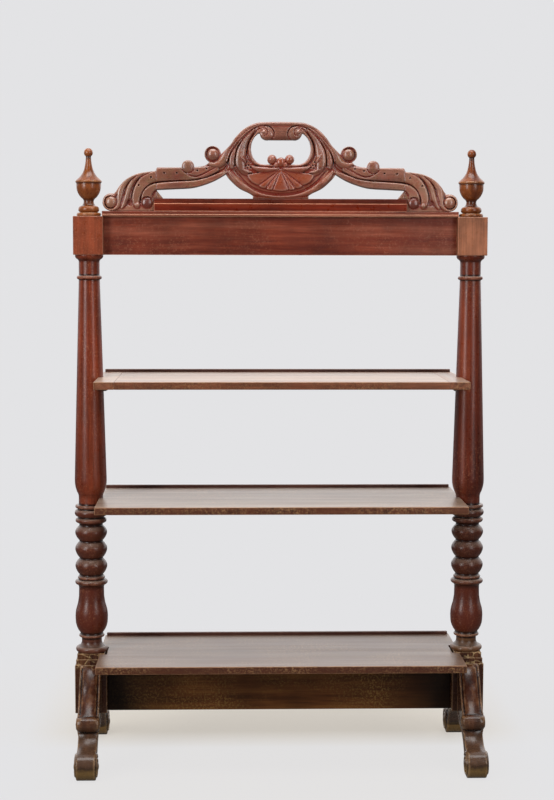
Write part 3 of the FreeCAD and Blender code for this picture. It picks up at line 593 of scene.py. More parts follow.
CENTER_RUNS = [
    [(-FAR, 29), (64, 29)],
    [(64, 29), (64, 36)],
    [(64, 36), (74, 42), (96, 53), (117, 72), (126, 84)],
    [(126, 84), (136, 100), (139, 118), (138, 129)],
    [(138, 129), (117, 150), (105, 167), (85, 187), (60, 200), (38, 203), (0, 204)],
    [(0, 204), (-FAR, 204)],
    [(-FAR, 204), (-FAR, 29)],
]
OPENING_RUNS = [
    [(-FAR, 107), (28, 107)],
    [(28, 107), (44, 108), (56, 114), (64, 125), (68, 141), (66, 157), (60, 169), (52, 177)],
    [(52, 177), (36, 179)],
    [(36, 179), (28, 162.5)],
    [(28, 162.5), (-FAR, 162.5)],
    [(-FAR, 162.5), (-FAR, 107)],
]
WING_RUNS = [
    [(118, 88), (126, 84), (134, 79), (150, 70), (169, 62), (190, 55.5), (209, 52), (245, 50), (285, 48)],
    [(285, 48), (269, 29)],
    [(269, 29), (291, 29)],
    [(291, 29), (291, 0)],
    [(291, 0), (388, 0)],
    [(388, 0), (388, 34)],
    [(388, 34), (379, 43), (369, 57), (354, 72), (331, 84), (310, 89), (287, 91)],
    [(287, 91), (283, 100)],
    [(283, 100), (226, 100)],
    [(226, 100), (198, 101), (180, 103), (168, 108), (160, 118)],
    [(160, 118), (138, 129)],
    [(138, 129), (118, 88)],
]
# Round parts of the outline: centre, radius
CREST_DISCS = [
    (BUTTON, 18.8), (LOBE, 14.6), (END_SCROLL, 20), (END_BOSS, 15),
    (BALL, 11), (BUD, 11), (BUD_FOOT, 7.5), (VOLUTE, 16.4),
]

# Strokes of the middle: across, up, half width, level of a rib or depth of a groove
# The outer band runs from the bar over the shoulder, then under the button and round it as its rim
OUTER_BAND = [
    (-20, 197, 7, 13), (0, 197, 7, 13), (36, 198, 6, 13.2), (58, 195.5, 6, 13.5), (79, 186, 6.8, 13.8),
    (98, 168.5, 7.2, 14), (113, 150, 7.8, 14), (124, 132, 9, 14), (132, 117, 9.5, 14),
    (142, 107.5, 8.5, 13.8), (155, 105.5, 6.5, 13.5), (167, 111, 4, 13.5), (173.5, 122, 2.8, 13.3),
    (173.5, 135, 2.4, 13.2), (166, 145.5, 2.2, 13), (154, 147.5, 1.8, 12.8), (143, 142.5, 1.2, 12),
]
TONGUE = [
    (68, 185, 2, 12.3), (82, 174, 2.8, 13), (93, 163, 3.6, 13.4), (106, 144, 4.8, 13.8), (112, 124, 6, 14),
    (113, 110, 5.8, 13.8), (112, 100.5, 4, 12.3),
]
LEAF_BODY = [
    (62, 186, 3, 12.5), (73, 173, 5.5, 13.2), (84, 157, 8.5, 13.6), (90, 140, 11, 13.8), (93, 122, 12, 13.8),
    (92, 106, 11, 13.2), (86, 92, 7, 12), (77, 84, 3, 10.5),
]
LEAF_ARRISES = [
    [(50, 195.5, 1.2, 13.5), (62, 190.5, 1.6, 14.6), (79, 179.5, 2, 15.4), (96, 163, 2.2, 15.9),
     (110, 145.5, 2.2, 15.9), (119.5, 128.5, 2.2, 15.5), (123.5, 114, 1.8, 14)],
    [(68, 185, 1, 13), (78, 177, 1.6, 14.6), (91, 163.5, 2, 15.4), (103, 143.5, 2.2, 15.9),
     (107.5, 123, 2.2, 15.7), (108, 105, 1.6, 14)],
    [(64, 184, 1, 13.5), (76, 170, 1.5, 14.6), (87, 150, 1.8, 15.2), (91, 130, 1.8, 15.2),
     (88, 114, 1.4, 14.2)],
]
LEAF_LINES = [
    [(46, 194.5, 1, 1.5), (60, 189, 1.1, 2), (77, 177, 1.2, 2.4), (93.5, 160.5, 1.3, 2.6),
     (107, 143, 1.4, 2.8), (116.5, 127.5, 1.5, 3), (121, 113, 2.2, 6), (121.5, 105, 3, 8)],
    [(66, 183.5, 0.8, 1), (76, 174.5, 1, 1.8), (88, 161.5, 1.1, 2.2), (100, 142, 1.2, 2.5),
     (104.5, 122, 1.2, 2.5), (105, 103, 1.3, 2.5)],
    [(48, 189, 1.5, 2.5), (57, 181.5, 1.6, 3), (67, 168, 1.4, 2.6), (75, 152, 1.4, 2.4), (78, 137, 1.4, 2.4),
     (76, 122, 1.4, 2.4), (69, 110, 1.2, 2)],
]
LEAF_TIPS = [
    [(91, 127, 2.5, 15), (86, 119, 3.6, 15.6), (81, 111, 2, 13)],
    [(88, 96, 3, 13.5), (79, 90.5, 4.2, 13.6), (68, 89, 2, 11)],
]
LEAF_EYES = [(78, 112), (74, 105), (69.5, 100), (80, 104), (76, 98.5)]
OPENING_RIM = [
    (50, 184, 2, 12), (60, 171, 3, 13), (67.5, 158, 3.8, 13.6), (71, 143, 4, 13.8), (70, 128, 4, 13.6),
    (63, 114, 3.6, 13), (52, 107, 3, 12.5), (38, 104.5, 2.4, 11.5), (20, 104, 2, 11),
]
CRESCENT = [
    (7, 97, 3, 11.5), (20, 95.5, 5, 13), (34, 95, 7, 14), (46, 95.5, 7.2, 14), (57, 98, 5.5, 13),
    (65, 102, 3, 11.5),
]
RIM_RIB = [
    (-20, 33, 2, 8.5), (0, 33, 2, 8.5), (34, 36, 3.5, 9.8), (62, 43.5, 7.5, 12), (88, 57, 10, 13),
    (107, 75, 8.5, 13), (118, 89, 5, 11.5),
]
RIM_GROOVE = [
    (-20, 39, 3.8, 5), (0, 39, 3.8, 5), (26, 41, 3.8, 5), (48, 46, 3.8, 5), (66, 54.5, 3.6, 5),
    (81, 66, 3.2, 4.5), (93, 79, 2.8, 4), (104, 92, 2, 3),
]
BAR_RIB = [(-30, 183.5, 20.5, 14), (0, 183.5, 20.5, 14), (44, 184, 19, 12.5)]
VOLUTE_EYE = (39.5, 180.5)
VOLUTE_LINES = [
    [(46, 194.5, 1.2, 2), (34, 194.8, 1.5, 3.2), (23, 190.5, 1.7, 3.8), (16.5, 182, 1.7, 3.8),
     (16, 172, 1.5, 2.6), (20, 165, 1, 1)],
    [(43, 188.5, 0.8, 1.5), (35, 188.5, 1.3, 2.8), (30, 182, 1.4, 3), (32, 174.5, 1.3, 2.4),
     (39, 171.5, 0.9, 1)],
]

# Strokes of the wing and the end
FASCIA_RIB = [
    (124, 90, 2.5, 10), (139, 82, 6, 12.5), (160, 73, 7, 13), (184, 65, 8, 13), (209, 61, 8.6, 13),
    (245, 59, 8.6, 13), (285, 55.5, 8, 13), (299, 48, 10, 12.8), (306, 39, 13, 12.4), (308, 30, 13, 12),
]
BAND_RIB = [
    (150, 97, 9, 11.5), (176, 89, 13, 11.5), (209, 86, 15, 11.5), (245, 85, 16, 11.5), (283, 83, 16, 11.5),
    (304, 75, 14, 11.5), (319, 59, 12, 11.5), (329, 41, 10, 11.5), (332, 22, 8, 11.5), (329, 12, 6, 10.5),
]
BAND_GROOVE = [
    (121, 112, 1.8, 5), (123, 103, 3, 8), (131, 96, 2.2, 5), (143, 90, 1.8, 3.6), (170, 77, 1.4, 2.8),
    (200, 71, 1.3, 2.6), (230, 69.5, 1.3, 2.6), (268, 67.5, 1.3, 2.6), (298, 60.5, 1.4, 2.8),
    (313, 48, 1.5, 3), (320, 32, 1.5, 3), (322, 18, 1.4, 2.6),
]
SCROLL_LINE = [
    (222, 90, 1.2, 1.5), (209, 82, 2, 2.6), (194, 79, 2.2, 3), (178, 84.5, 2, 2.8), (161, 93.5, 1.6, 2.4),
    (150, 98.5, 1, 1.5),
]
BAND_DOTS = [(170, 97), (191, 92.5), (238, 87), (267, 86.5), (297, 77), (325, 59)]
BAND_EDGE = [
    (290, 91, 1, 1.2), (311, 82, 1.3, 2.2), (326, 71, 1.4, 2.8), (335, 57, 1.5, 2.8), (340, 41, 1.5, 2.8),
    (344, 26, 1.4, 2.8), (353, 12, 1.2, 2),
]
END_LEAVES = [
    [(316, 85, 2, 11), (336, 71, 5, 12.8), (347, 53, 6, 13.5), (352, 36, 6, 13.2), (357, 20, 6, 12.5),
     (364, 8, 3, 11)],
    [(306, 88, 2, 11), (338, 80, 5.5, 13), (356, 66, 8, 14), (366, 48, 9.5, 14.5), (369, 30, 8.5, 14.2),
     (372, 14, 6, 13.5), (381, 4.5, 3.5, 13.2), (393, 3, 2.6, 13), (402, 9, 2.4, 13), (405.5, 20, 2.2, 13),
     (401.5, 31, 2, 13), (392, 36, 1.8, 12.8), (381, 34, 1.4, 12)],
]
END_GROOVE = [
    (330, 80, 1, 1.2), (345, 67, 1.3, 2.2), (357, 50, 1.4, 2.8), (362, 33, 1.4, 2.8), (367, 16, 1.3, 2.4),
]
CURL_EYE = (345.0, 19.0)
BAND_CURL = (329.0, 14.0)


def shell_rays(carving):
    """A scallop shell: low rounded rays that fan down from a focus, with cut lines between them."""
    across = carving.across - SHELL_FOCUS[0]
    down = SHELL_FOCUS[1] - carving.up
    angle = np.abs(np.degrees(np.arctan2(across, down)))
    reach = 1 / np.hypot(np.sin(np.radians(angle)) / SHELL_HALF, np.cos(np.radians(angle)) / SHELL_DEPTH)
    radius = np.hypot(across, down)
    share = radius / reach
    edges = np.array([-SHELL_LINES[0][0]] + [line for line, _ in SHELL_LINES] + [SHELL_SPREAD])
    ray = np.clip(np.searchsorted(edges, angle) - 1, 0, len(edges) - 2)
    turn = 2 * (angle - edges[ray]) / (edges[ray + 1] - edges[ray]) - 1
    crown = np.clip(1 - turn ** 2, 0, 1)
    level = SHELL_LEVEL + SHELL_DISH * share ** 2 + SHELL_CROWN * crown * np.clip(share * 1.4, 0, 1)
    for line, depth in SHELL_LINES:
        gap = radius * np.abs(np.sin(np.radians(angle - line)))
        level -= depth * np.clip(1 - gap / SHELL_LINE_HALF, 0, 1) * np.clip(3 * share, 0, 1)
    lip = rising(1 - SHELL_SCALLOP_SHARE * (1 - crown), share, SHELL_LIP_SHARE)
    level = SHELL_FOOT + (level - SHELL_FOOT) * np.sqrt(1 - (1 - lip) ** 2)
    carving.lift((angle < SHELL_SPREAD) & (lip > 0) & (down > 0), level)


def carve_center(carving):
    """The middle of the crest: bar and volutes, leaves, shell and rim."""
    carving.rib(BAR_RIB, foot=6)
    shell_rays(carving)
    carving.rib(OUTER_BAND, foot=9)
    carving.rib(TONGUE, foot=10)
    carving.rib(LEAF_BODY, foot=9)
    for rows in LEAF_ARRISES:
        carving.rib(rows, foot=12, form="ridge")
    carving.rib(OPENING_RIM, foot=8)
    carving.rib(CRESCENT, foot=8)
    for rows in LEAF_LINES:
        carving.groove(rows)
    for rows in LEAF_TIPS:
        carving.rib(rows, foot=10)
    for eye in LEAF_EYES:
        carving.drill(eye, radius=2, depth=4)
    carving.rib(RIM_RIB, foot=6)
    carving.groove(RIM_GROOVE)
    carving.dome(VOLUTE, radius=16.4, foot=9, top=14.5)
    for rows in VOLUTE_LINES:
        carving.groove(rows)
    carving.dome(VOLUTE_EYE, radius=5.4, foot=10, top=16.2)
    carving.dome(BALL, radius=11, foot=3, top=15)
    carving.dome(BUD, radius=11, foot=6, top=14)
    carving.dome(BUD_FOOT, radius=7, foot=6, top=12)


def carve_wing(carving):
    """The wing: fascia, dotted band, button scroll and lobe."""
    carving.rib(BAND_RIB, foot=7.5, form="flat")
    carving.rib(FASCIA_RIB, foot=6.5, form="flat")
    carving.groove(SCROLL_LINE)
    carving.sink(BUTTON_BALL, radius=14.6, level=8)
    carving.groove(BAND_GROOVE)
    for dot in BAND_DOTS:
        carving.drill(dot, radius=2.1, depth=6)
    carving.dome(BUTTON_BALL, radius=13.4, foot=8, top=16.8)
    carving.groove(spiral(LOBE, (15.4, 15.4), 205, 125, (1.4, 1.4), (2.2, 2.2)))
    carving.dome(LOBE, radius=14.4, foot=9, top=14.6)


def carve_end(carving):
    """The end: leaves that curl down to the end scroll, and the dished boss beside the base rail."""
    carving.groove(BAND_EDGE)
    for rows in END_LEAVES:
        carving.rib(rows, foot=8.5)
    carving.groove(END_GROOVE)
    carving.drill(CURL_EYE, radius=7.5, depth=4.5)
    carving.sink(END_SCROLL, radius=15, level=8)
    carving.dome(END_SCROLL, radius=13.4, foot=8, top=16.5)
    carving.sink(END_BOSS, radius=14.6, level=6.5)
    carving.dome(END_BOSS, radius=13, foot=6.5, top=13.5)
    carving.dome(BAND_CURL, radius=6, foot=9, top=13.8)


def crest_carving():
    across = np.arange(0, CREST_WIDE, CREST_VOXEL)
    up = np.arange(-2 * CREST_VOXEL, CREST_TALL, CREST_VOXEL)
    carving = Carving(across, up, CREST_GROUND)
    carving.add_outline(CENTER_RUNS)
    carving.cut_outline(OPENING_RUNS)
    carving.add_outline(WING_RUNS)
    for center, radius in CREST_DISCS:
        carving.add_disc(center, radius)
    carve_center(carving)
    carve_wing(carving)
    carve_end(carving)
    carving.height = np.clip(carving.height, CREST_DEEPEST, CREST_PROUDEST)
    return carving


def crest_shape(carving, first, last):
    """The stretch of the crest between two distances from the middle; from 0 it is the whole middle."""
    margin = 4 * CREST_VOXEL
    depths = np.arange(-CREST_BACK - margin, CREST_PROUDEST + margin, CREST_VOXEL)
    pick = (carving.across[:, 0] >= first - margin) & (carving.across[:, 0] <= last + margin)
    across = carving.across[pick][:, None, :]
    front = (carving.height - edge_drop(carving.inside, CARVED_EDGE))[pick]
    uncut = np.maximum(carving.inside[pick][:, None, :], depths[None, :, None] - front[:, None, :])
    uncut = np.maximum(uncut, -CREST_BACK - depths[None, :, None])
    field = np.maximum(uncut, across - last)
    start = across[0, 0, 0]
    if first > 0:
        field = np.maximum(field, first - across)
    else:
        field = np.concatenate([field[:0:-1], field])
        uncut = np.concatenate([uncut[:0:-1], uncut])
        start = -(field.shape[0] // 2) * CREST_VOXEL
    shape = volume_shape(field, (start, depths[0], carving.up[0, 0] + CAP_TOP), CREST_VOXEL, uncut)
    return turned_over(shape, (1, -1, 1))


# Scroll legs, drawn from the side: along is the distance from the post's axis, up the height
LEG_HALF = 24.5
LEG_FOOT, BASE_TOP = (corner[2] for corner in node_box("right_base_block"))
LEG_BACK = node_box("right_base_block")[1][1]
LEG_TOP = node_box("right_front_leg")[1][2]
KNEE = (130.0, 112.0)
KNEE_RADIUS = 17.5
TOE_RADIUS = 31.0
TOE = (-node_box("right_front_leg")[0][1] - TOE_RADIUS, TOE_RADIUS)
SOLE = 10.0
# How far a leg's points may stand out, which caps its light edges of wear and painted highlight
LEG_STAND_CAP = 0.45
SIDE_RIM, SIDE_SUNK = 6.0, 2.0
SHIN_NARROWED = 2.5
# The front of the leg: a roll between fillets above the knee, an arch below it, and a rounded knee
FILLET_INNER, FILLET_DEPTH = 19.0, 4.2
GROOVE_HALF, GROOVE_DEPTH = 1.5, 1.6
FRONT_EASE = 8.0
ROLL_HALF, ROLL_DEPTH = 20.0, 7.0
ARCH_DEPTH = 4.5
KNEE_INNER, KNEE_DEPTH = 13.0, 3.0
LEG_RUNS = [
    [(LEG_BACK, LEG_FOOT), (LEG_BACK, LEG_TOP)],
    [(LEG_BACK, LEG_TOP), (50, 221), (64, 209), (80, 189.5), (92, 172), (108, 152), (130, 129.5)],
    [(130, 129.5), (130, 97)],
    [(130, 97), (143, 80), (162, 67), (186, 62)],
    [(186, 62), (186, 0)],
    [(186, 0), (TOE[0] - SOLE, 0)],
    [(TOE[0] - SOLE, 0), (152, 31), (122, 64), (86, 86), (LEG_BACK, LEG_FOOT)],
]


def leg_carving():
    """A carving whose height is half the leg's width: raised rims, scrolls and round eyes."""
    margin = 4 * LEG_VOXEL
    along = np.arange(LEG_BACK - margin, TOE[0] + TOE_RADIUS + margin, LEG_VOXEL)
    up = np.arange(-margin, LEG_TOP + margin, LEG_VOXEL)
    carving = Carving(along, up, LEG_HALF)
    carving.add_outline(LEG_RUNS)
    carving.add_disc(KNEE, KNEE_RADIUS)
    carving.add_disc(TOE, TOE_RADIUS)
    carving.height -= SIDE_SUNK * rising(-carving.inside, SIDE_RIM, 2)
    carving.height -= SHIN_NARROWED * rising(KNEE[1] - KNEE_RADIUS, carving.up, 10)
    toe_scroll = spiral(TOE, (28, 13), 150, -560, (3, 2.2), (LEG_HALF + 1, LEG_HALF + 2), 30)
    carving.rib(toe_scroll, foot=LEG_HALF - 4)
    carving.dome(TOE, radius=12, foot=LEG_HALF - 2, top=LEG_HALF + 4)
    knee_scroll = spiral(KNEE, (15, 9), 200, -420, (2.6, 2), (LEG_HALF + 2, LEG_HALF + 2.4), 24)
    carving.rib(knee_scroll, foot=LEG_HALF - 3)
    carving.dome(KNEE, radius=7.5, foot=LEG_HALF - 2, top=LEG_HALF + 3.6)
    return carving


def leg_front(across, carving):
    """How far the front is cut back: a round roll between fillets above the knee, a flatter one below it."""
    groove = GROOVE_DEPTH * np.exp(-((across - FILLET_INNER) / GROOVE_HALF) ** 2)
    crown = ROLL_DEPTH * (1 - np.sqrt(1 - np.clip(across / ROLL_HALF, 0, 0.96) ** 2))
    front = np.where(across < FILLET_INNER, crown, FILLET_DEPTH) + groove
    panel = rising(carving.up, KNEE[1] + 14, FRONT_EASE) * rising(carving.across, LEG_BACK + 3, 6)
    arch = ARCH_DEPTH * (across / LEG_HALF) ** 2
    ankle = rising(carving.across, KNEE[0] - 10, FRONT_EASE)
    ankle *= rising(carving.up, 2 * TOE_RADIUS - 4, FRONT_EASE) * rising(KNEE[1] - KNEE_RADIUS, carving.up, 6)
    roll = KNEE_DEPTH * rising(across, KNEE_INNER, 13) ** 2
    knee = rising(carving.across, KNEE[0] - 12, FRONT_EASE) * (np.abs(carving.up - KNEE[1]) < KNEE_RADIUS)
    cuts = ((front, panel), (arch, ankle), (roll, knee))
    return sum(depth[:, None, None] * mask[None] for depth, mask in cuts)


def leg_shape():
    """A leg that reaches to +Y from the post's axis."""
    carving = leg_carving()
    across = np.arange(0, LEG_HALF + 4 + 4 * LEG_VOXEL, LEG_VOXEL)
    width = carving.height - edge_drop(carving.inside, CARVED_EDGE)
    outline = carving.inside[None] + leg_front(across, carving)
    field = np.maximum(outline, across[:, None, None] - width[None])
    field = np.concatenate([field[:0:-1], field])
    return volume_shape(field, (-across[-1], carving.across[0, 0], carving.up[0, 0]), LEG_VOXEL)


# Materials: a colour is red, green and blue from 0 to 255; heights and distances are metres

# The right post's tones are darker than the left's: painted shade of the weaker light on that side
POST_TONES = {
    "left": ((82, 27, 12), (116, 45, 22), (138, 62, 36)),
    "right": ((70, 22, 10), (100, 37, 19), (124, 56, 33)),
}
BLOCK_TONES = {"left": (130, 61, 37), "right": (160, 101, 72)}
FOOT_TONES = {"left": (92, 58, 44), "right": (108, 84, 54)}
# Heights under which a post changes its tone: at the middle shelf, over the vase and over the foot
BEADS_TOP, VASE_TOP, POST_FOOT_TOP = 0.6, 0.412, 0.303
# Heights under which a leg changes its tone, from the ankle down to the sole, where the darkening is a
# painted contact shadow
ANKLE_TOP, TOE_SHADE_TOP, TOE_FACE_TOP, SOLE_SHADOW_TOP = 0.15, 0.041, 0.034, 0.007
# How far the crest's carved front lies before the middle plane
CREST_FRONT = 0.01


def linear(channel):
    """A channel of a colour, as the shaders want it."""
    share = channel / 255
    return share / 12.92 if share <= 0.04045 else ((share + 0.055) / 1.055) ** 2.4


class Nodes:
    """A node tree that is put together one node at a time."""

    def __init__(self, tree):
        self.tree = tree

    def join(self, given, socket):
        """Links an input to an output, or sets it to a constant."""
        if isinstance(given, bpy.types.NodeSocket):
            self.tree.links.new(given, socket)
        elif socket.type == "RGBA":
            socket.default_value = (*map(linear, given), 1.0)
        else:
            socket.default_value = given

    def node(self, kind, inputs, **settings):
        made = self.tree.nodes.new(kind)
        for key, setting in settings.items():
            setattr(made, key, setting)
        for key, given in inputs.items():
            self.join(given, made.inputs[key])
        return made

    def attribute(self, name, output="Fac"):
        return self.node("ShaderNodeAttribute", {}, attribute_name=name).outputs[output]

    def coordinate(self, output):
        return self.node("ShaderNodeTexCoord", {}).outputs[output]

    def part(self, vector, axis):
        return self.node("ShaderNodeSeparateXYZ", {0: vector}).outputs[axis]

    def vector(self, operation, first, second=(0, 0, 0), output="Vector"):
        return self.node("ShaderNodeVectorMath", {0: first, 1: second}, operation=operation).outputs[output]

    def noise(self, vector, scale=1.0, detail=3.0, roughness=0.55, output="Fac"):
        inputs = {"Vector": vector, "Scale": scale, "Detail": detail, "Roughness": roughness}
        return self.node("ShaderNodeTexNoise", inputs).outputs[output]

    def ramp(self, value, low, high, start=0.0, end=1.0):
        """A value moved from one span to another, and kept inside it."""
        inputs = {"Value": value, "From Min": low, "From Max": high, "To Min": start, "To Max": end}
        return self.node("ShaderNodeMapRange", inputs).outputs["Result"]

    def math(self, operation, first, second=0.0):
        return self.node("ShaderNodeMath", {0: first, 1: second}, operation=operation).outputs[0]

    def times(self, first, second):
        return self.math("MULTIPLY", first, second)

    def blend(self, share, first, second):
        """A number between two others."""
        return self.node("ShaderNodeMix", {0: share, 2: first, 3: second}).outputs[0]

    def mix(self, share, first, second, mode="MIX"):
        """A colour between two others."""
        made = self.node("ShaderNodeMix", {0: share, 6: first, 7: second}, data_type="RGBA", blend_type=mode)
        return made.outputs[2]

    def shade(self, color, value):
        tone = self.node("ShaderNodeCombineColor", {0: value, 1: value, 2: value}).outputs[0]
        return self.mix(1.0, color, tone, "MULTIPLY")

    def bump(self, height, distance, strength, normal=None):
        inputs = {"Height": height, "Distance": distance, "Strength": strength}
        if normal is not None:
            inputs["Normal"] = normal
        return self.node("ShaderNodeBump", inputs).outputs["Normal"]

    def facing(self, axis, first=0.55):
        """How far the surface faces along an axis, from 0 to 1."""
        normal = self.node("ShaderNodeNewGeometry", {}).outputs["Normal"]
        return self.ramp(self.part(normal, axis), first, 0.95)


class Shader(Nodes):
    """A material with one surface."""

    def __init__(self, name):
        self.material = bpy.data.materials.new(name)
        self.material.use_nodes = True
        super().__init__(self.material.node_tree)
        self.surface = self.tree.nodes["Principled BSDF"]

    def put(self, looks):
        """Gives inputs of the surface their values."""
        for name, given in looks.items():
            self.join(given, self.surface.inputs[name])


class Wood(Shader):
    """Old polished wood: figure and pores along the grain, light edges of rubbed wear and painted highlight,
    and painted shade in the hollows.
    """

    def __init__(self, name, dark, middle, light, pore, blotch=0.22):
        super().__init__(name)
        self.grain = self.attribute("grain", "Vector")
        sway = self.noise(self.drawn(self.grain, 1.3, 7.0), detail=2.0, output="Color")
        fibres = self.vector("ADD", self.grain, self.drawn(sway, 0.0, 0.03))
        self.figure = self.noise(self.drawn(fibres, 2.2, 48.0), detail=5.0, roughness=0.6)
        self.strands = self.noise(self.drawn(fibres, 13.0, 430.0), detail=2.0)
        self.pores = self.noise(self.drawn(self.grain, 42.0, 1500.0), detail=1.0)
        self.rubs = self.noise(self.grain, scale=70.0, detail=5.0, roughness=0.7)
        self.patches = self.noise(self.grain, scale=9.0, detail=4.0, roughness=0.6)
        color = self.mix(self.ramp(self.figure, 0.32, 0.52), dark, middle)
        color = self.mix(self.ramp(self.figure, 0.5, 0.72), color, light)
        color = self.shade(color, self.ramp(self.strands, 0.3, 0.7, 0.76, 1.18))
        color = self.shade(color, self.ramp(self.patches, 0.3, 0.7, 1 - blotch, 1 + blotch))
        self.color = self.mix(self.ramp(self.pores, 0.34, 0.24, 0.0, 0.5), color, pore)
        self.edge_wear_and_highlight = 0.0

    def drawn(self, vector, along, across):
        """A vector scaled by one factor along the grain and by another across it."""
        return self.vector("MULTIPLY", vector, (along, across, across))

    def tint(self, share, color):
        self.color = self.mix(share, self.color, color)

    def figured(self, color, least=0.8):
        """A plain colour with the wood's figure in it."""
        return self.shade(color, self.ramp(self.figure, 0.35, 0.65, least, 1.2))

    def speckle(self, color, amount, scale=230.0, first=0.54):
        """Small worn spots that lie in drifts."""
        grit = self.noise(self.grain, scale=scale, detail=3.0, roughness=0.8)
        drift = self.ramp(self.noise(self.grain, scale=7.0, detail=3.0), 0.36, 0.62)
        self.tint(self.times(self.ramp(grit, first, first + 0.12, 0.0, amount), drift), color)

    def low(self, color, full, none, amount, ragged=0.03):
        """Another colour towards the floor, between two heights, with a ragged edge."""
        height = self.math("ADD", self.attribute("height"), self.ramp(self.rubs, 0.3, 0.7, -ragged, ragged))
        self.tint(self.ramp(height, none, full, 0.0, amount), color)

    def above(self, color, level):
        """Another colour over a height, with the figure kept."""
        share = self.ramp(self.attribute("height"), level - 0.001, level + 0.001)
        tone = self.figured(self.shade(color, self.ramp(self.strands, 0.3, 0.7, 0.8, 1.15)), 0.75)
        self.tint(share, self.shade(tone, self.ramp(self.patches, 0.38, 0.62, 0.6, 1.25)))

    def around(self, color, center, full, none, amount):
        """Another colour round a place of the right half and its mirror image, but not on the back."""
        folded = self.vector("ABSOLUTE", self.attribute("place", "Vector"))
        away = self.vector("DISTANCE", folded, center, "Value")
        front = self.ramp(self.facing("Y"), 1.0, 0.0)
        self.tint(self.times(self.ramp(away, none, full, 0.0, amount), front), self.figured(color))

    def outward(self, color, first, full, amount):
        """Another colour away from the middle, between two distances along the length."""
        across = self.math("ABSOLUTE", self.part(self.attribute("place", "Vector"), "X"))
        self.tint(self.ramp(across, first, full, 0.0, amount), self.figured(color))

    def dust_and_sheen(self, color, amount, low=None, first=0.55):
        """A pale film on what faces up, wiped along the grain: dust, and a painted sheen of the light from
        above; near the floor it may have another amount.
        """
        if low is not None:
            amount = self.ramp(self.attribute("height"), 0.3, 0.5, low, amount)
        wiped = self.noise(self.drawn(self.grain, 1.6, 26.0), detail=6.0, roughness=0.7)
        film = self.times(self.ramp(wiped, 0.32, 0.68, 0.25, 1.0), self.facing("Z", first))
        self.tint(self.times(film, amount), color)

    def cracks(self, color, foot, top, amount):
        """Pale lines of old filler that run between two heights."""
        inputs = {"Vector": self.attribute("place", "Vector"), "Scale": 55.0}
        cells = self.node("ShaderNodeTexVoronoi", inputs, feature="DISTANCE_TO_EDGE").outputs["Distance"]
        height = self.attribute("height")
        shown = self.times(self.ramp(height, foot - 0.01, foot), self.ramp(height, top + 0.002, top))
        shown = self.times(shown, self.ramp(self.rubs, 0.42, 0.56))
        self.tint(self.times(self.ramp(cells, 0.07, 0.02, 0.0, amount), shown), color)

    def hollow_shade(self, color, pit_shade=None):
        """Painted shade where the surface lies back, and a darker painted shade in the deepest places."""
        stand = self.attribute("stand")
        self.tint(self.ramp(stand, -0.03, -0.38, 0.0, 0.9), color)
        if pit_shade is not None:
            self.tint(self.ramp(stand, -1.1, -1.5), pit_shade)

    def edges(self, color, amount):
        """Light edges where the surface stands out: rubbed wear, and a painted highlight along ridges and
        arrises.
        """
        stand = self.times(self.attribute("stand"), self.ramp(self.rubs, 0.3, 0.64, 0.3, 1.5))
        self.edge_wear_and_highlight = self.ramp(stand, 0.2, 0.75, 0.0, amount)
        self.tint(self.edge_wear_and_highlight, color)

    def finished(self, gloss, polish=None, coat=0.1, specular=0.4, dents=0.0006):
        """The material; what faces up may have a gloss of its own, and the back is less polished."""
        roughness = self.ramp(self.rubs, 0.25, 0.75, gloss - 0.08, gloss + 0.12)
        if polish is not None:
            top = self.ramp(self.figure, 0.3, 0.7, polish - 0.03, polish + 0.06)
            roughness = self.blend(self.facing("Z"), roughness, top)
        roughness = self.math("ADD", roughness, self.ramp(self.facing("Y"), 0.0, 1.0, 0.0, 0.25))
        roughness = self.math("ADD", roughness, self.ramp(self.edge_wear_and_highlight, 0.0, 1.0, 0.0, 0.2))
        threads = self.ramp(self.strands, 0.0, 1.0, 0.0, 0.6)
        relief = self.math("ADD", self.ramp(self.pores, 0.24, 0.34), threads)
        waves = self.noise(self.grain, scale=30.0, detail=2.0)
        normal = self.bump(waves, dents, 0.12, self.bump(relief, 0.00015, 0.3))
        self.put({"Base Color": self.color, "Roughness": roughness, "Normal": normal})
        self.put({"Coat Weight": coat, "Coat Roughness": 0.2, "Specular IOR Level": specular})
        return self.material


def post_wood(side):
    """Each post has a tone of its own, the right one darker as painted shade, and a paler block on top."""
    shader = Wood(f"{side}_post_wood", *POST_TONES[side], (42, 12, 5))
    shader.low((84, 37, 22), full=0.3, none=0.7, amount=0.85)
    shader.low((72, 40, 28), BEADS_TOP - 0.003, BEADS_TOP, 0.6, ragged=0.0)
    shader.low((98, 38, 22), VASE_TOP - 0.007, VASE_TOP, 0.6, ragged=0.0)
    shader.low(FOOT_TONES[side], POST_FOOT_TOP - 0.008, POST_FOOT_TOP, 0.55, ragged=0.004)
    shader.above(BLOCK_TONES[side], BLOCK_FOOT / METRE)
    shader.speckle((190, 128, 94), 0.35)
    shader.dust_and_sheen((140, 122, 108), 1.0, first=0.2)
    shader.hollow_shade((34, 9, 4))
    shader.edges((168, 112, 86), 0.6)
    return shader.finished(gloss=0.3, specular=0.3)


def rail_wood():
    shader = Wood("rail_wood", (86, 28, 14), (116, 49, 30), (142, 78, 57), (50, 16, 8), blotch=0.34)
    shader.speckle((170, 114, 90), 0.4)
    shader.hollow_shade((60, 14, 5))
    shader.edges((196, 142, 112), 0.85)
    return shader.finished(gloss=0.34)


def base_rail_wood():
    shader = Wood("base_rail_wood", (88, 23, 9), (110, 36, 16), (124, 50, 28), (66, 16, 7))
    shader.above((88, 32, 18), (CAP_TOP + BASE_RAIL_STEP) / METRE)
    shader.hollow_shade((60, 10, 3))
    shader.edges((196, 132, 100), 0.85)
    return shader.finished(gloss=0.3, specular=0.25)


def crest_place(spot):
    """A spot on the front of the crest's right half, in metres."""
    return spot[0] / METRE, CREST_FRONT, (CAP_TOP + spot[1]) / METRE


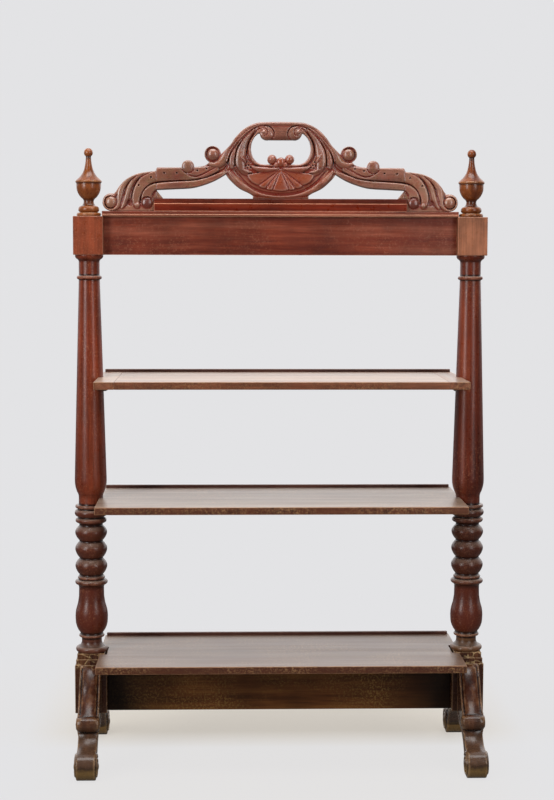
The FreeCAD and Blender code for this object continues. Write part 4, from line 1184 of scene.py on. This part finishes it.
def crest_wood():
    """Paler towards the ends; redder round the shell's heart and the bosses, with a dark red painted shade in
    the hollows beside the bosses.
    """
    shader = Wood("crest_wood", (104, 52, 37), (128, 72, 54), (146, 93, 74), (80, 30, 16), blotch=0.3)
    shader.outward((154, 104, 80), first=0.24, full=0.36, amount=0.65)
    shader.speckle((150, 112, 96), 0.25)
    shader.speckle((132, 108, 74), 0.45, scale=48.0, first=0.46)
    shader.speckle((134, 50, 28), 0.4, scale=36.0, first=0.52)
    shader.around((138, 58, 28), crest_place(SHELL_HEART), full=0.05, none=0.1, amount=0.8)
    shader.dust_and_sheen((160, 138, 118), 0.25)
    shader.hollow_shade((118, 28, 8), pit_shade=(38, 10, 4))
    shader.edges((170, 130, 112), 0.22)
    shader.around((92, 26, 13), crest_place(END_BOSS), full=0.010, none=0.015, amount=0.85)
    # Painted shade: dark red in the hollow beside each boss
    shader.around((108, 28, 12), crest_place(BOSS_HOLLOW), full=0.004, none=0.011, amount=0.7)
    return shader.finished(gloss=0.28, coat=0.15, specular=0.85)


def finial_wood():
    shader = Wood("finial_wood", (96, 42, 15), (130, 66, 27), (152, 88, 43), (56, 22, 8))
    shader.hollow_shade((46, 16, 5))
    shader.edges((196, 146, 98), 0.5)
    return shader.finished(gloss=0.27)


def shelf_wood():
    """The lower shelves are darker, with less dust and painted sheen."""
    shader = Wood("shelf_wood", (96, 48, 29), (126, 70, 46), (148, 92, 64), (56, 24, 13))
    shader.low((72, 33, 18), full=0.5, none=0.95, amount=0.92)
    shader.speckle((40, 19, 10), 0.75, scale=90.0, first=0.5)
    shader.speckle((164, 124, 84), 0.85, first=0.5)
    shader.edges((166, 118, 80), 0.7)
    shader.dust_and_sheen((204, 186, 166), 0.62, low=0.25)
    shader.put({"Specular Tint": (255, 246, 232)})
    return shader.finished(gloss=0.36, polish=0.34, coat=0.0, specular=0.6, dents=0.0002)


# The lips' near-black maroon is painted shade on the shelves' back edges
def shaded_lip_wood():
    shader = Wood("shaded_lip_wood", (50, 22, 16), (72, 38, 29), (96, 58, 47), (28, 11, 7))
    shader.edges((132, 96, 78), 0.7)
    return shader.finished(gloss=0.36)


def base_wood():
    """Legs and base blocks: greyer towards the toes, darkened at the sole as painted contact shadow, with
    pale filler round the top of the blocks.
    """
    shader = Wood("base_wood", (48, 20, 10), (72, 35, 20), (116, 74, 46), (25, 10, 5))
    shader.speckle((146, 108, 74), 0.45)
    shader.low((84, 63, 49), ANKLE_TOP - 0.08, ANKLE_TOP, 0.75)
    shader.low((40, 27, 18), TOE_SHADE_TOP - 0.008, TOE_SHADE_TOP, 0.75, ragged=0.004)
    shader.low((132, 102, 58), TOE_FACE_TOP - 0.01, TOE_FACE_TOP, 0.8, ragged=0.004)
    # Painted contact shadow: the lowest few millimetres of each leg darken
    shader.low((30, 20, 14), SOLE_SHADOW_TOP - 0.004, SOLE_SHADOW_TOP, 0.85, ragged=0.002)
    shader.speckle((74, 52, 30), 0.4, first=0.5)
    shader.cracks((204, 172, 124), LEG_TOP / METRE, BASE_TOP / METRE, 0.75)
    shader.hollow_shade((24, 9, 4))
    shader.edges((176, 138, 96), 0.5)
    return shader.finished(gloss=0.24, specular=0.36)


# The cleats' near-black tone is painted shade under the ends of the upper shelf
def shaded_cleat_wood():
    shader = Wood("shaded_cleat_wood", (30, 12, 7), (44, 19, 11), (60, 28, 17), (20, 8, 4))
    shader.edges((96, 62, 42), 0.4)
    return shader.finished(gloss=0.4)


def stretcher_wood():
    shader = Wood("stretcher_wood", (73, 39, 16), (98, 57, 26), (119, 78, 38), (40, 17, 6))
    shader.speckle((150, 114, 62), 0.8, scale=190.0, first=0.49)
    shader.edges((136, 98, 56), 0.5)
    # Painted shadow: the stretcher's ends darken nearly to black, as shade from the legs and the shelf above
    shader.outward((14, 5, 2), first=0.22, full=0.37, amount=0.92)
    return shader.finished(gloss=0.4, specular=0.15)


def dowel_wood():
    """Bare turned wood, for pins that sit inside the joints."""
    shader = Shader("dowel_wood")
    place = shader.vector("MULTIPLY", shader.coordinate("Object"), (300.0, 300.0, 12.0))
    fibres = shader.noise(place, detail=3.0)
    color = shader.mix(shader.ramp(fibres, 0.3, 0.7), (150, 112, 72), (186, 150, 104))
    roughness = shader.ramp(fibres, 0.3, 0.7, 0.5, 0.65)
    shader.put({"Base Color": color, "Roughness": roughness, "Normal": shader.bump(fibres, 0.0002, 0.4)})
    return shader.material


def screw_steel():
    shader = Shader("screw_steel")
    stain = shader.noise(shader.coordinate("Object"), scale=600.0, detail=4.0)
    color = shader.mix(shader.ramp(stain, 0.4, 0.65), (120, 112, 102), (72, 56, 44))
    roughness = shader.ramp(stain, 0.3, 0.7, 0.3, 0.6)
    shader.put({"Base Color": color, "Roughness": roughness, "Normal": shader.bump(stain, 0.0001, 0.5)})
    shader.put({"Metallic": 0.9})
    return shader.material


# Pieces

ALONG_X, ALONG_Y, ALONG_Z = 0, 1, 2
PLAIN_SMOOTH, CARVED_SMOOTH = 40, 75
# How far the grain moves on from one piece to the next
GRAIN_SHIFT = np.array((0.37, 0.71, 0.53))
CAP_EDGE, CAP_FILLET, CAP_SET_BACK = 1.4, 5.0, 2.4
BASE_RAIL_EDGE = 1.6
SHELF_EDGE, LIP_EDGE = 1.8, 1.6
SHELF_HOLE, CLEAT_HOLE = 31.2, 31.8
CLEAT_EDGE, CLEAT_CELL = 1.5, 6.0
NOTCH_GAP, NOTCH_EDGE, NOTCH_CELL = 0.2, 0.3, 60.0
PLINTH_STEP, PLINTH_INSET, PLINTH_OVERLAP = 13.0, 2.5, 4.0
PLINTH_EDGE, SMALL_CELL = 1.8, 9.0
pieces = []


def dress(piece, material, nodes, grain, smooth):
    """Finishes a piece: smooth shading, its marks, its material and its place in the frame."""
    pieces.append(piece)
    mesh = piece.data
    mesh.polygons.foreach_set("use_smooth", [True] * len(mesh.polygons))
    mesh.set_sharp_from_angle(angle=math.radians(smooth))
    places = np.zeros(len(mesh.vertices) * 3)
    mesh.vertices.foreach_get("co", places)
    places = places.reshape(-1, 3)
    grain_places = np.roll(places, -grain, axis=1) + GRAIN_SHIFT * len(pieces)
    set_attribute(mesh, "grain", "FLOAT_VECTOR", grain_places)
    set_attribute(mesh, "height", "FLOAT", places[:, 2])
    set_attribute(mesh, "place", "FLOAT_VECTOR", places)
    mesh.materials.clear()
    mesh.materials.append(material)
    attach(piece, "root")
    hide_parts(*nodes)


def make(node, ending, shape, wood, grain=ALONG_X, cutters=()):
    """A piece for a node, with the cutters cut out of it."""
    piece = add_piece(f"{node}_{ending}", shape)
    for cutter in cutters:
        cut_out(piece, cutter)
    dress(piece, wood, [node], grain, PLAIN_SMOOTH)


def posts_and_finials():
    light = finial_wood()
    for side, sign in SIDES:
        make(f"{side}_post", "turned", post_shape(sign), post_wood(side), ALONG_Z)
        make(f"{side}_finial", "turned", finial_shape(sign), light, ALONG_Z)


def tiers(low, high, rows, edge):
    """A board made of tiers: each row gives a top, how far the tier is set back, and how strongly it shows
    light edges of wear and painted highlight, and painted hollow shade.
    """
    shapes = []
    foot = low[2]
    for top, inset, edge_wear_and_highlight in rows:
        shrink = np.array((0.0, inset, 0.0))
        box = rounded_box((*low[:2], foot) + shrink, (*high[:2], top) - shrink, edge)
        shapes.append(Shape(box.points, box.faces, np.asarray(box.stand) * edge_wear_and_highlight))
        foot = top - 2 * edge
    return joined(shapes)


def spanning_board(node, reach):
    """A board with a node's thickness and height, as far as a reach on both sides of the middle."""
    low, high = node_box(node)
    return rounded_box((-reach, *low[1:]), (reach, *high[1:]))


def rails(wood):
    make("apron_rail", "board", spanning_board("apron_rail", POST_X - BLOCK_HALF), wood)
    low, high = node_box("cap_board")
    rows = [(low[2] + CAP_FILLET, 0, 1.6), (high[2], CAP_SET_BACK, 0.4)]
    make("cap_board", "plank", tiers(low, high, rows, CAP_EDGE), wood)
    low, high = node_box("crest_base_rail")
    rows = [(low[2] + BASE_RAIL_STEP, 0, 1.2), (high[2], high[1] - CREST_BACK, 0.3)]
    moulding = tiers(low, high, rows, BASE_RAIL_EDGE)
    make("crest_base_rail", "moulding", moulding, base_rail_wood())


def thin_back(piece):
    """Removes most of the points of the crest's flat back, away from its rim."""
    group = piece.vertex_groups.new(name="back")
    flat = np.array([vertex.co.y * METRE > CREST_BACK - BACK_NEAR for vertex in piece.data.vertices])
    edges = np.array([edge.vertices[:] for edge in piece.data.edges])
    for _ in range(RIM_ROWS):
        rim = edges[flat[edges[:, 0]] != flat[edges[:, 1]]]
        flat[rim.ravel()] = False
    group.add([int(index) for index in np.nonzero(flat)[0]], 1.0, "REPLACE")
    change = piece.modifiers.new("thin", "DECIMATE")
    change.ratio = BACK_KEPT_SHARE
    change.vertex_group = "back"
    applied(piece)
    piece.vertex_groups.clear()


def carved_piece(node, shape, wood, grain, thin=False):
    """A carved piece for a node; a flat back may be thinned."""
    piece = add_piece(f"{node}_carved", shape)
    if thin:
        thin_back(piece)
    dress(piece, wood, [node], grain, CARVED_SMOOTH)


def crest():
    wood = crest_wood()
    carving = crest_carving()
    center = crest_shape(carving, 0, SEAM_WING)
    carved_piece("crest_center", center, wood, ALONG_X, thin=True)
    spans = (("wing", SEAM_WING + SEAM_GAP, SEAM_END), ("end", SEAM_END + SEAM_GAP, CREST_WIDE))
    for part, first, last in spans:
        shape = crest_shape(carving, first, last)
        for side, sign in SIDES:
            half = shape if sign > 0 else turned_over(shape, (-1, 1, 1))
            carved_piece(f"crest_{side}_{part}", half, wood, ALONG_X, thin=True)


def post_cutter(sign, radius):
    rows = [(radius, 0.0, 0), (radius, BLOCK_TOP, 0)]
    return add_piece("notch", turned(rows, post_axis(sign)))


def block_cutter(side):
    low, high = node_box(f"{side}_base_block")
    corners = (*(low[:2] - NOTCH_GAP), 0), (*(high[:2] + NOTCH_GAP), BLOCK_TOP)
    return add_piece("notch", rounded_box(*corners, NOTCH_EDGE, NOTCH_CELL))


def unmarked_joints(shape, distance):
    """A shape with no light edges of wear and painted highlight, and no painted hollow shade, at its joints,
    this far left and right of the middle.
    """
    joint = np.abs(np.abs(shape.points[:, 0]) - distance) < 2 * BOARD_EDGE
    return Shape(shape.points, shape.faces, np.where(joint, 0.0, shape.stand))


def upper_shelf(wood):
    """A long board between two cross-grain ends, on two cleats."""
    dark = shaded_cleat_wood()
    reach = node_box("upper_shelf_right_end")[0][0]
    board = spanning_board("upper_shelf_right_end", reach)
    make("upper_shelf", "board", unmarked_joints(board, reach), wood)
    for side, sign in SIDES:
        node = f"upper_shelf_{side}_end"
        end = unmarked_joints(node_board(node, cell=SMALL_CELL), reach)
        make(node, "board", end, wood, ALONG_Y, [post_cutter(sign, SHELF_HOLE)])
        node = f"{side}_cleat"
        cleat = node_board(node, CLEAT_EDGE, CLEAT_CELL)
        make(node, "batten", cleat, dark, ALONG_Y, [post_cutter(sign, CLEAT_HOLE)])


def shelves():
    wood = shelf_wood()
    upper_shelf(wood)
    waists = [post_cutter(sign, WAIST / 2 + NOTCH_GAP) for _, sign in SIDES]
    blocks = [block_cutter(side) for side, _ in SIDES]
    for node, cutters in (("middle_shelf", waists), ("bottom_shelf", blocks)):
        make(node, "board", node_board(node, SHELF_EDGE), wood, ALONG_X, cutters)
    dark = shaded_lip_wood()
    for shelf in ("upper", "middle", "bottom"):
        node = f"{shelf}_shelf_lip"
        make(node, "strip", node_board(node, LIP_EDGE), dark)


def base_block_shape(low, high):
    """A block with two stepped tiers on top."""
    shapes = []
    for number in range(3):
        top = high[2] - (2 - number) * PLINTH_STEP
        foot = low[2] if number == 0 else top - PLINTH_STEP - PLINTH_OVERLAP
        shrink = np.array((number * PLINTH_INSET, number * PLINTH_INSET, 0))
        corners = (*low[:2], foot) + shrink, (*high[:2], top) - shrink
        shapes.append(rounded_box(*corners, PLINTH_EDGE, SMALL_CELL))
    return joined(shapes)


def base(wood):
    leg = leg_shape()
    for side, sign in SIDES:
        node = f"{side}_base_block"
        make(node, "stepped", base_block_shape(*node_box(node)), wood, ALONG_Z)
        for end, forward in ENDS:
            shape = leg if forward > 0 else turned_over(leg, (1, -1, 1))
            capped_stand = np.minimum(shape.stand, LEG_STAND_CAP)
            placed = Shape(shape.points + (*post_axis(sign), 0), shape.faces, capped_stand)
            carved_piece(f"{side}_{end}_leg", placed, wood, ALONG_Z)
    board = spanning_board("stretcher", node_box("right_base_block")[0][0])
    make("stretcher", "board", board, stretcher_wood())


def hidden_pieces():
    """Pins and screws keep the frame's own meshes."""
    pins = dowel_wood()
    finishes = {"crest_dowels": pins, "leg_dowels": pins, "shelf_dowels": pins, "cleat_screws": screw_steel()}
    for node, material in finishes.items():
        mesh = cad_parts[node].data
        mesh.materials.clear()
        mesh.materials.append(material)


# Stage, light and camera, in metres

BACKDROP = (227, 227, 229)
FLOOR_FILL = 0.2
FLOOR_REACH = 60.0
# The floor shows the object's shadow near the middle, between the legs and from the posts backwards
SHADOW_NEAR, SHADOW_FAR = 0.5, 1.3
SHADOW_INNER, SHADOW_OUTER = 0.42, 0.62
SHADOW_FRONT, SHADOW_BACK = 0.06, 0.2
SHADOW_FAINT, SHADOW_STRONG = 0.06, 0.4
FOCAL_PIXELS, FRAME_HEIGHT, SENSOR = 1700.0, 800.0, 36.0
CAMERA_PLACE = Vector((-0.124, -3.932, 1.186))
CAMERA_YAW, CAMERA_PITCH, CAMERA_ROLL = -1.70, 5.00, -0.13
LIGHT_AIM = (0, 0, 0.8)


def camera():
    lens = bpy.data.cameras.new("camera")
    lens.sensor_fit = "VERTICAL"
    lens.sensor_height = SENSOR
    lens.lens = FOCAL_PIXELS * SENSOR / FRAME_HEIGHT
    lens.clip_end = 200
    yaw, pitch, roll = (math.radians(angle) for angle in (CAMERA_YAW, CAMERA_PITCH, CAMERA_ROLL))
    ahead = Vector((-math.sin(yaw), math.cos(yaw), 0))
    right = Vector((math.cos(yaw), math.sin(yaw), 0))
    down = Vector((0, 0, -1))
    look = math.cos(pitch) * ahead + math.sin(pitch) * down
    below = math.cos(pitch) * down - math.sin(pitch) * ahead
    across = math.cos(roll) * right + math.sin(roll) * below
    below = math.cos(roll) * below - math.sin(roll) * right
    eye = bpy.data.objects.new("camera", lens)
    turn = Matrix((across, -below, -look)).transposed().to_4x4()
    eye.matrix_world = Matrix.Translation(CAMERA_PLACE) @ turn
    bpy.context.scene.collection.objects.link(eye)
    bpy.context.scene.camera = eye


def softbox(name, place, aim, width, height, power, mirrored=True):
    lamp = bpy.data.lights.new(name, "AREA")
    lamp.shape = "RECTANGLE"
    lamp.size = width
    lamp.size_y = height
    lamp.energy = power
    box = bpy.data.objects.new(name, lamp)
    box.location = place
    box.rotation_euler = (Vector(aim) - Vector(place)).to_track_quat("-Z", "Y").to_euler()
    box.visible_glossy = mirrored
    bpy.context.scene.collection.objects.link(box)


def studio_world():
    """A pale backdrop that lights the object softly; the room in front of it is dim in reflections."""
    world = bpy.data.worlds.new("studio")
    world.use_nodes = True
    nodes = Nodes(world.node_tree)
    rays = nodes.node("ShaderNodeLightPath", {}).outputs
    mirrored = nodes.ramp(nodes.part(nodes.coordinate("Generated"), "Y"), -0.1, 0.5, 0.05, 1.9)
    light = nodes.blend(rays["Is Glossy Ray"], 0.25, mirrored)
    back = world.node_tree.nodes["Background"].inputs
    nodes.join(BACKDROP, back["Color"])
    nodes.join(nodes.blend(rays["Is Camera Ray"], light, 1.0), back["Strength"])
    bpy.context.scene.world = world


def floor_paper():
    """Pale paper that takes the object's shadow, and glows like the backdrop everywhere else; where it takes
    shadow, its glow is warmed as painted bounce light from the wood.
    """
    shader = Shader("floor_paper")
    place = shader.coordinate("Object")
    distance = shader.vector("LENGTH", place, output="Value")
    aside = shader.math("ABSOLUTE", shader.part(place, "X"))
    between = shader.ramp(aside, SHADOW_OUTER, SHADOW_INNER, 0.1, 1.0)
    near = shader.times(shader.ramp(distance, SHADOW_FAR, SHADOW_NEAR), between)
    behind = shader.ramp(shader.part(place, "Y"), SHADOW_FRONT, SHADOW_BACK, SHADOW_FAINT, SHADOW_STRONG)
    catch = shader.times(near, behind)
    color = shader.mix(shader.noise(place, scale=40.0), (215, 208, 195), (219, 212, 199))
    shader.put({"Base Color": color, "Roughness": 0.9, "Specular IOR Level": 0.0})
    # Painted warm bounce light: the glow turns warm where the floor takes shadow
    painted_warm_bounce = shader.mix(catch, BACKDROP, (240, 224, 196))
    seen = shader.node("ShaderNodeLightPath", {}).outputs["Is Camera Ray"]
    strength = shader.ramp(seen, 0.0, 1.0, FLOOR_FILL, 1.0)
    glow = shader.node("ShaderNodeEmission", {"Color": painted_warm_bounce, "Strength": strength}).outputs[0]
    paper = shader.node("ShaderNodeMixShader", {0: catch, 1: glow, 2: shader.surface.outputs[0]}).outputs[0]
    shader.join(paper, shader.tree.nodes["Material Output"].inputs["Surface"])
    return shader.material


def floor():
    """A large sheet under the object."""
    corners = np.array([(-1, -1, 0), (1, -1, 0), (1, 1, 0), (-1, 1, 0)]) * FLOOR_REACH * METRE
    sheet = add_piece("floor", Shape(corners, [(0, 1, 2, 3)], np.zeros(4)))
    sheet.data.materials.append(floor_paper())


def stage():
    studio_world()
    floor()
    softbox("left_light", (-2.5, -2.4, 1.9), LIGHT_AIM, width=1.1, height=2.6, power=76)
    softbox("right_light", (2.0, -2.9, 1.9), LIGHT_AIM, width=1.0, height=2.6, power=44)
    softbox("back_light", (0.8, 3.2, 2.4), LIGHT_AIM, width=2.4, height=2.4, power=55, mirrored=False)
    softbox("top_light", (0.0, -0.6, 3.4), (0, 0, 0.6), width=2.4, height=1.2, power=60)
    bpy.context.scene.view_settings.view_transform = "Standard"


posts_and_finials()
rails(rail_wood())
crest()
shelves()
base(base_wood())
hidden_pieces()
stage()
camera()
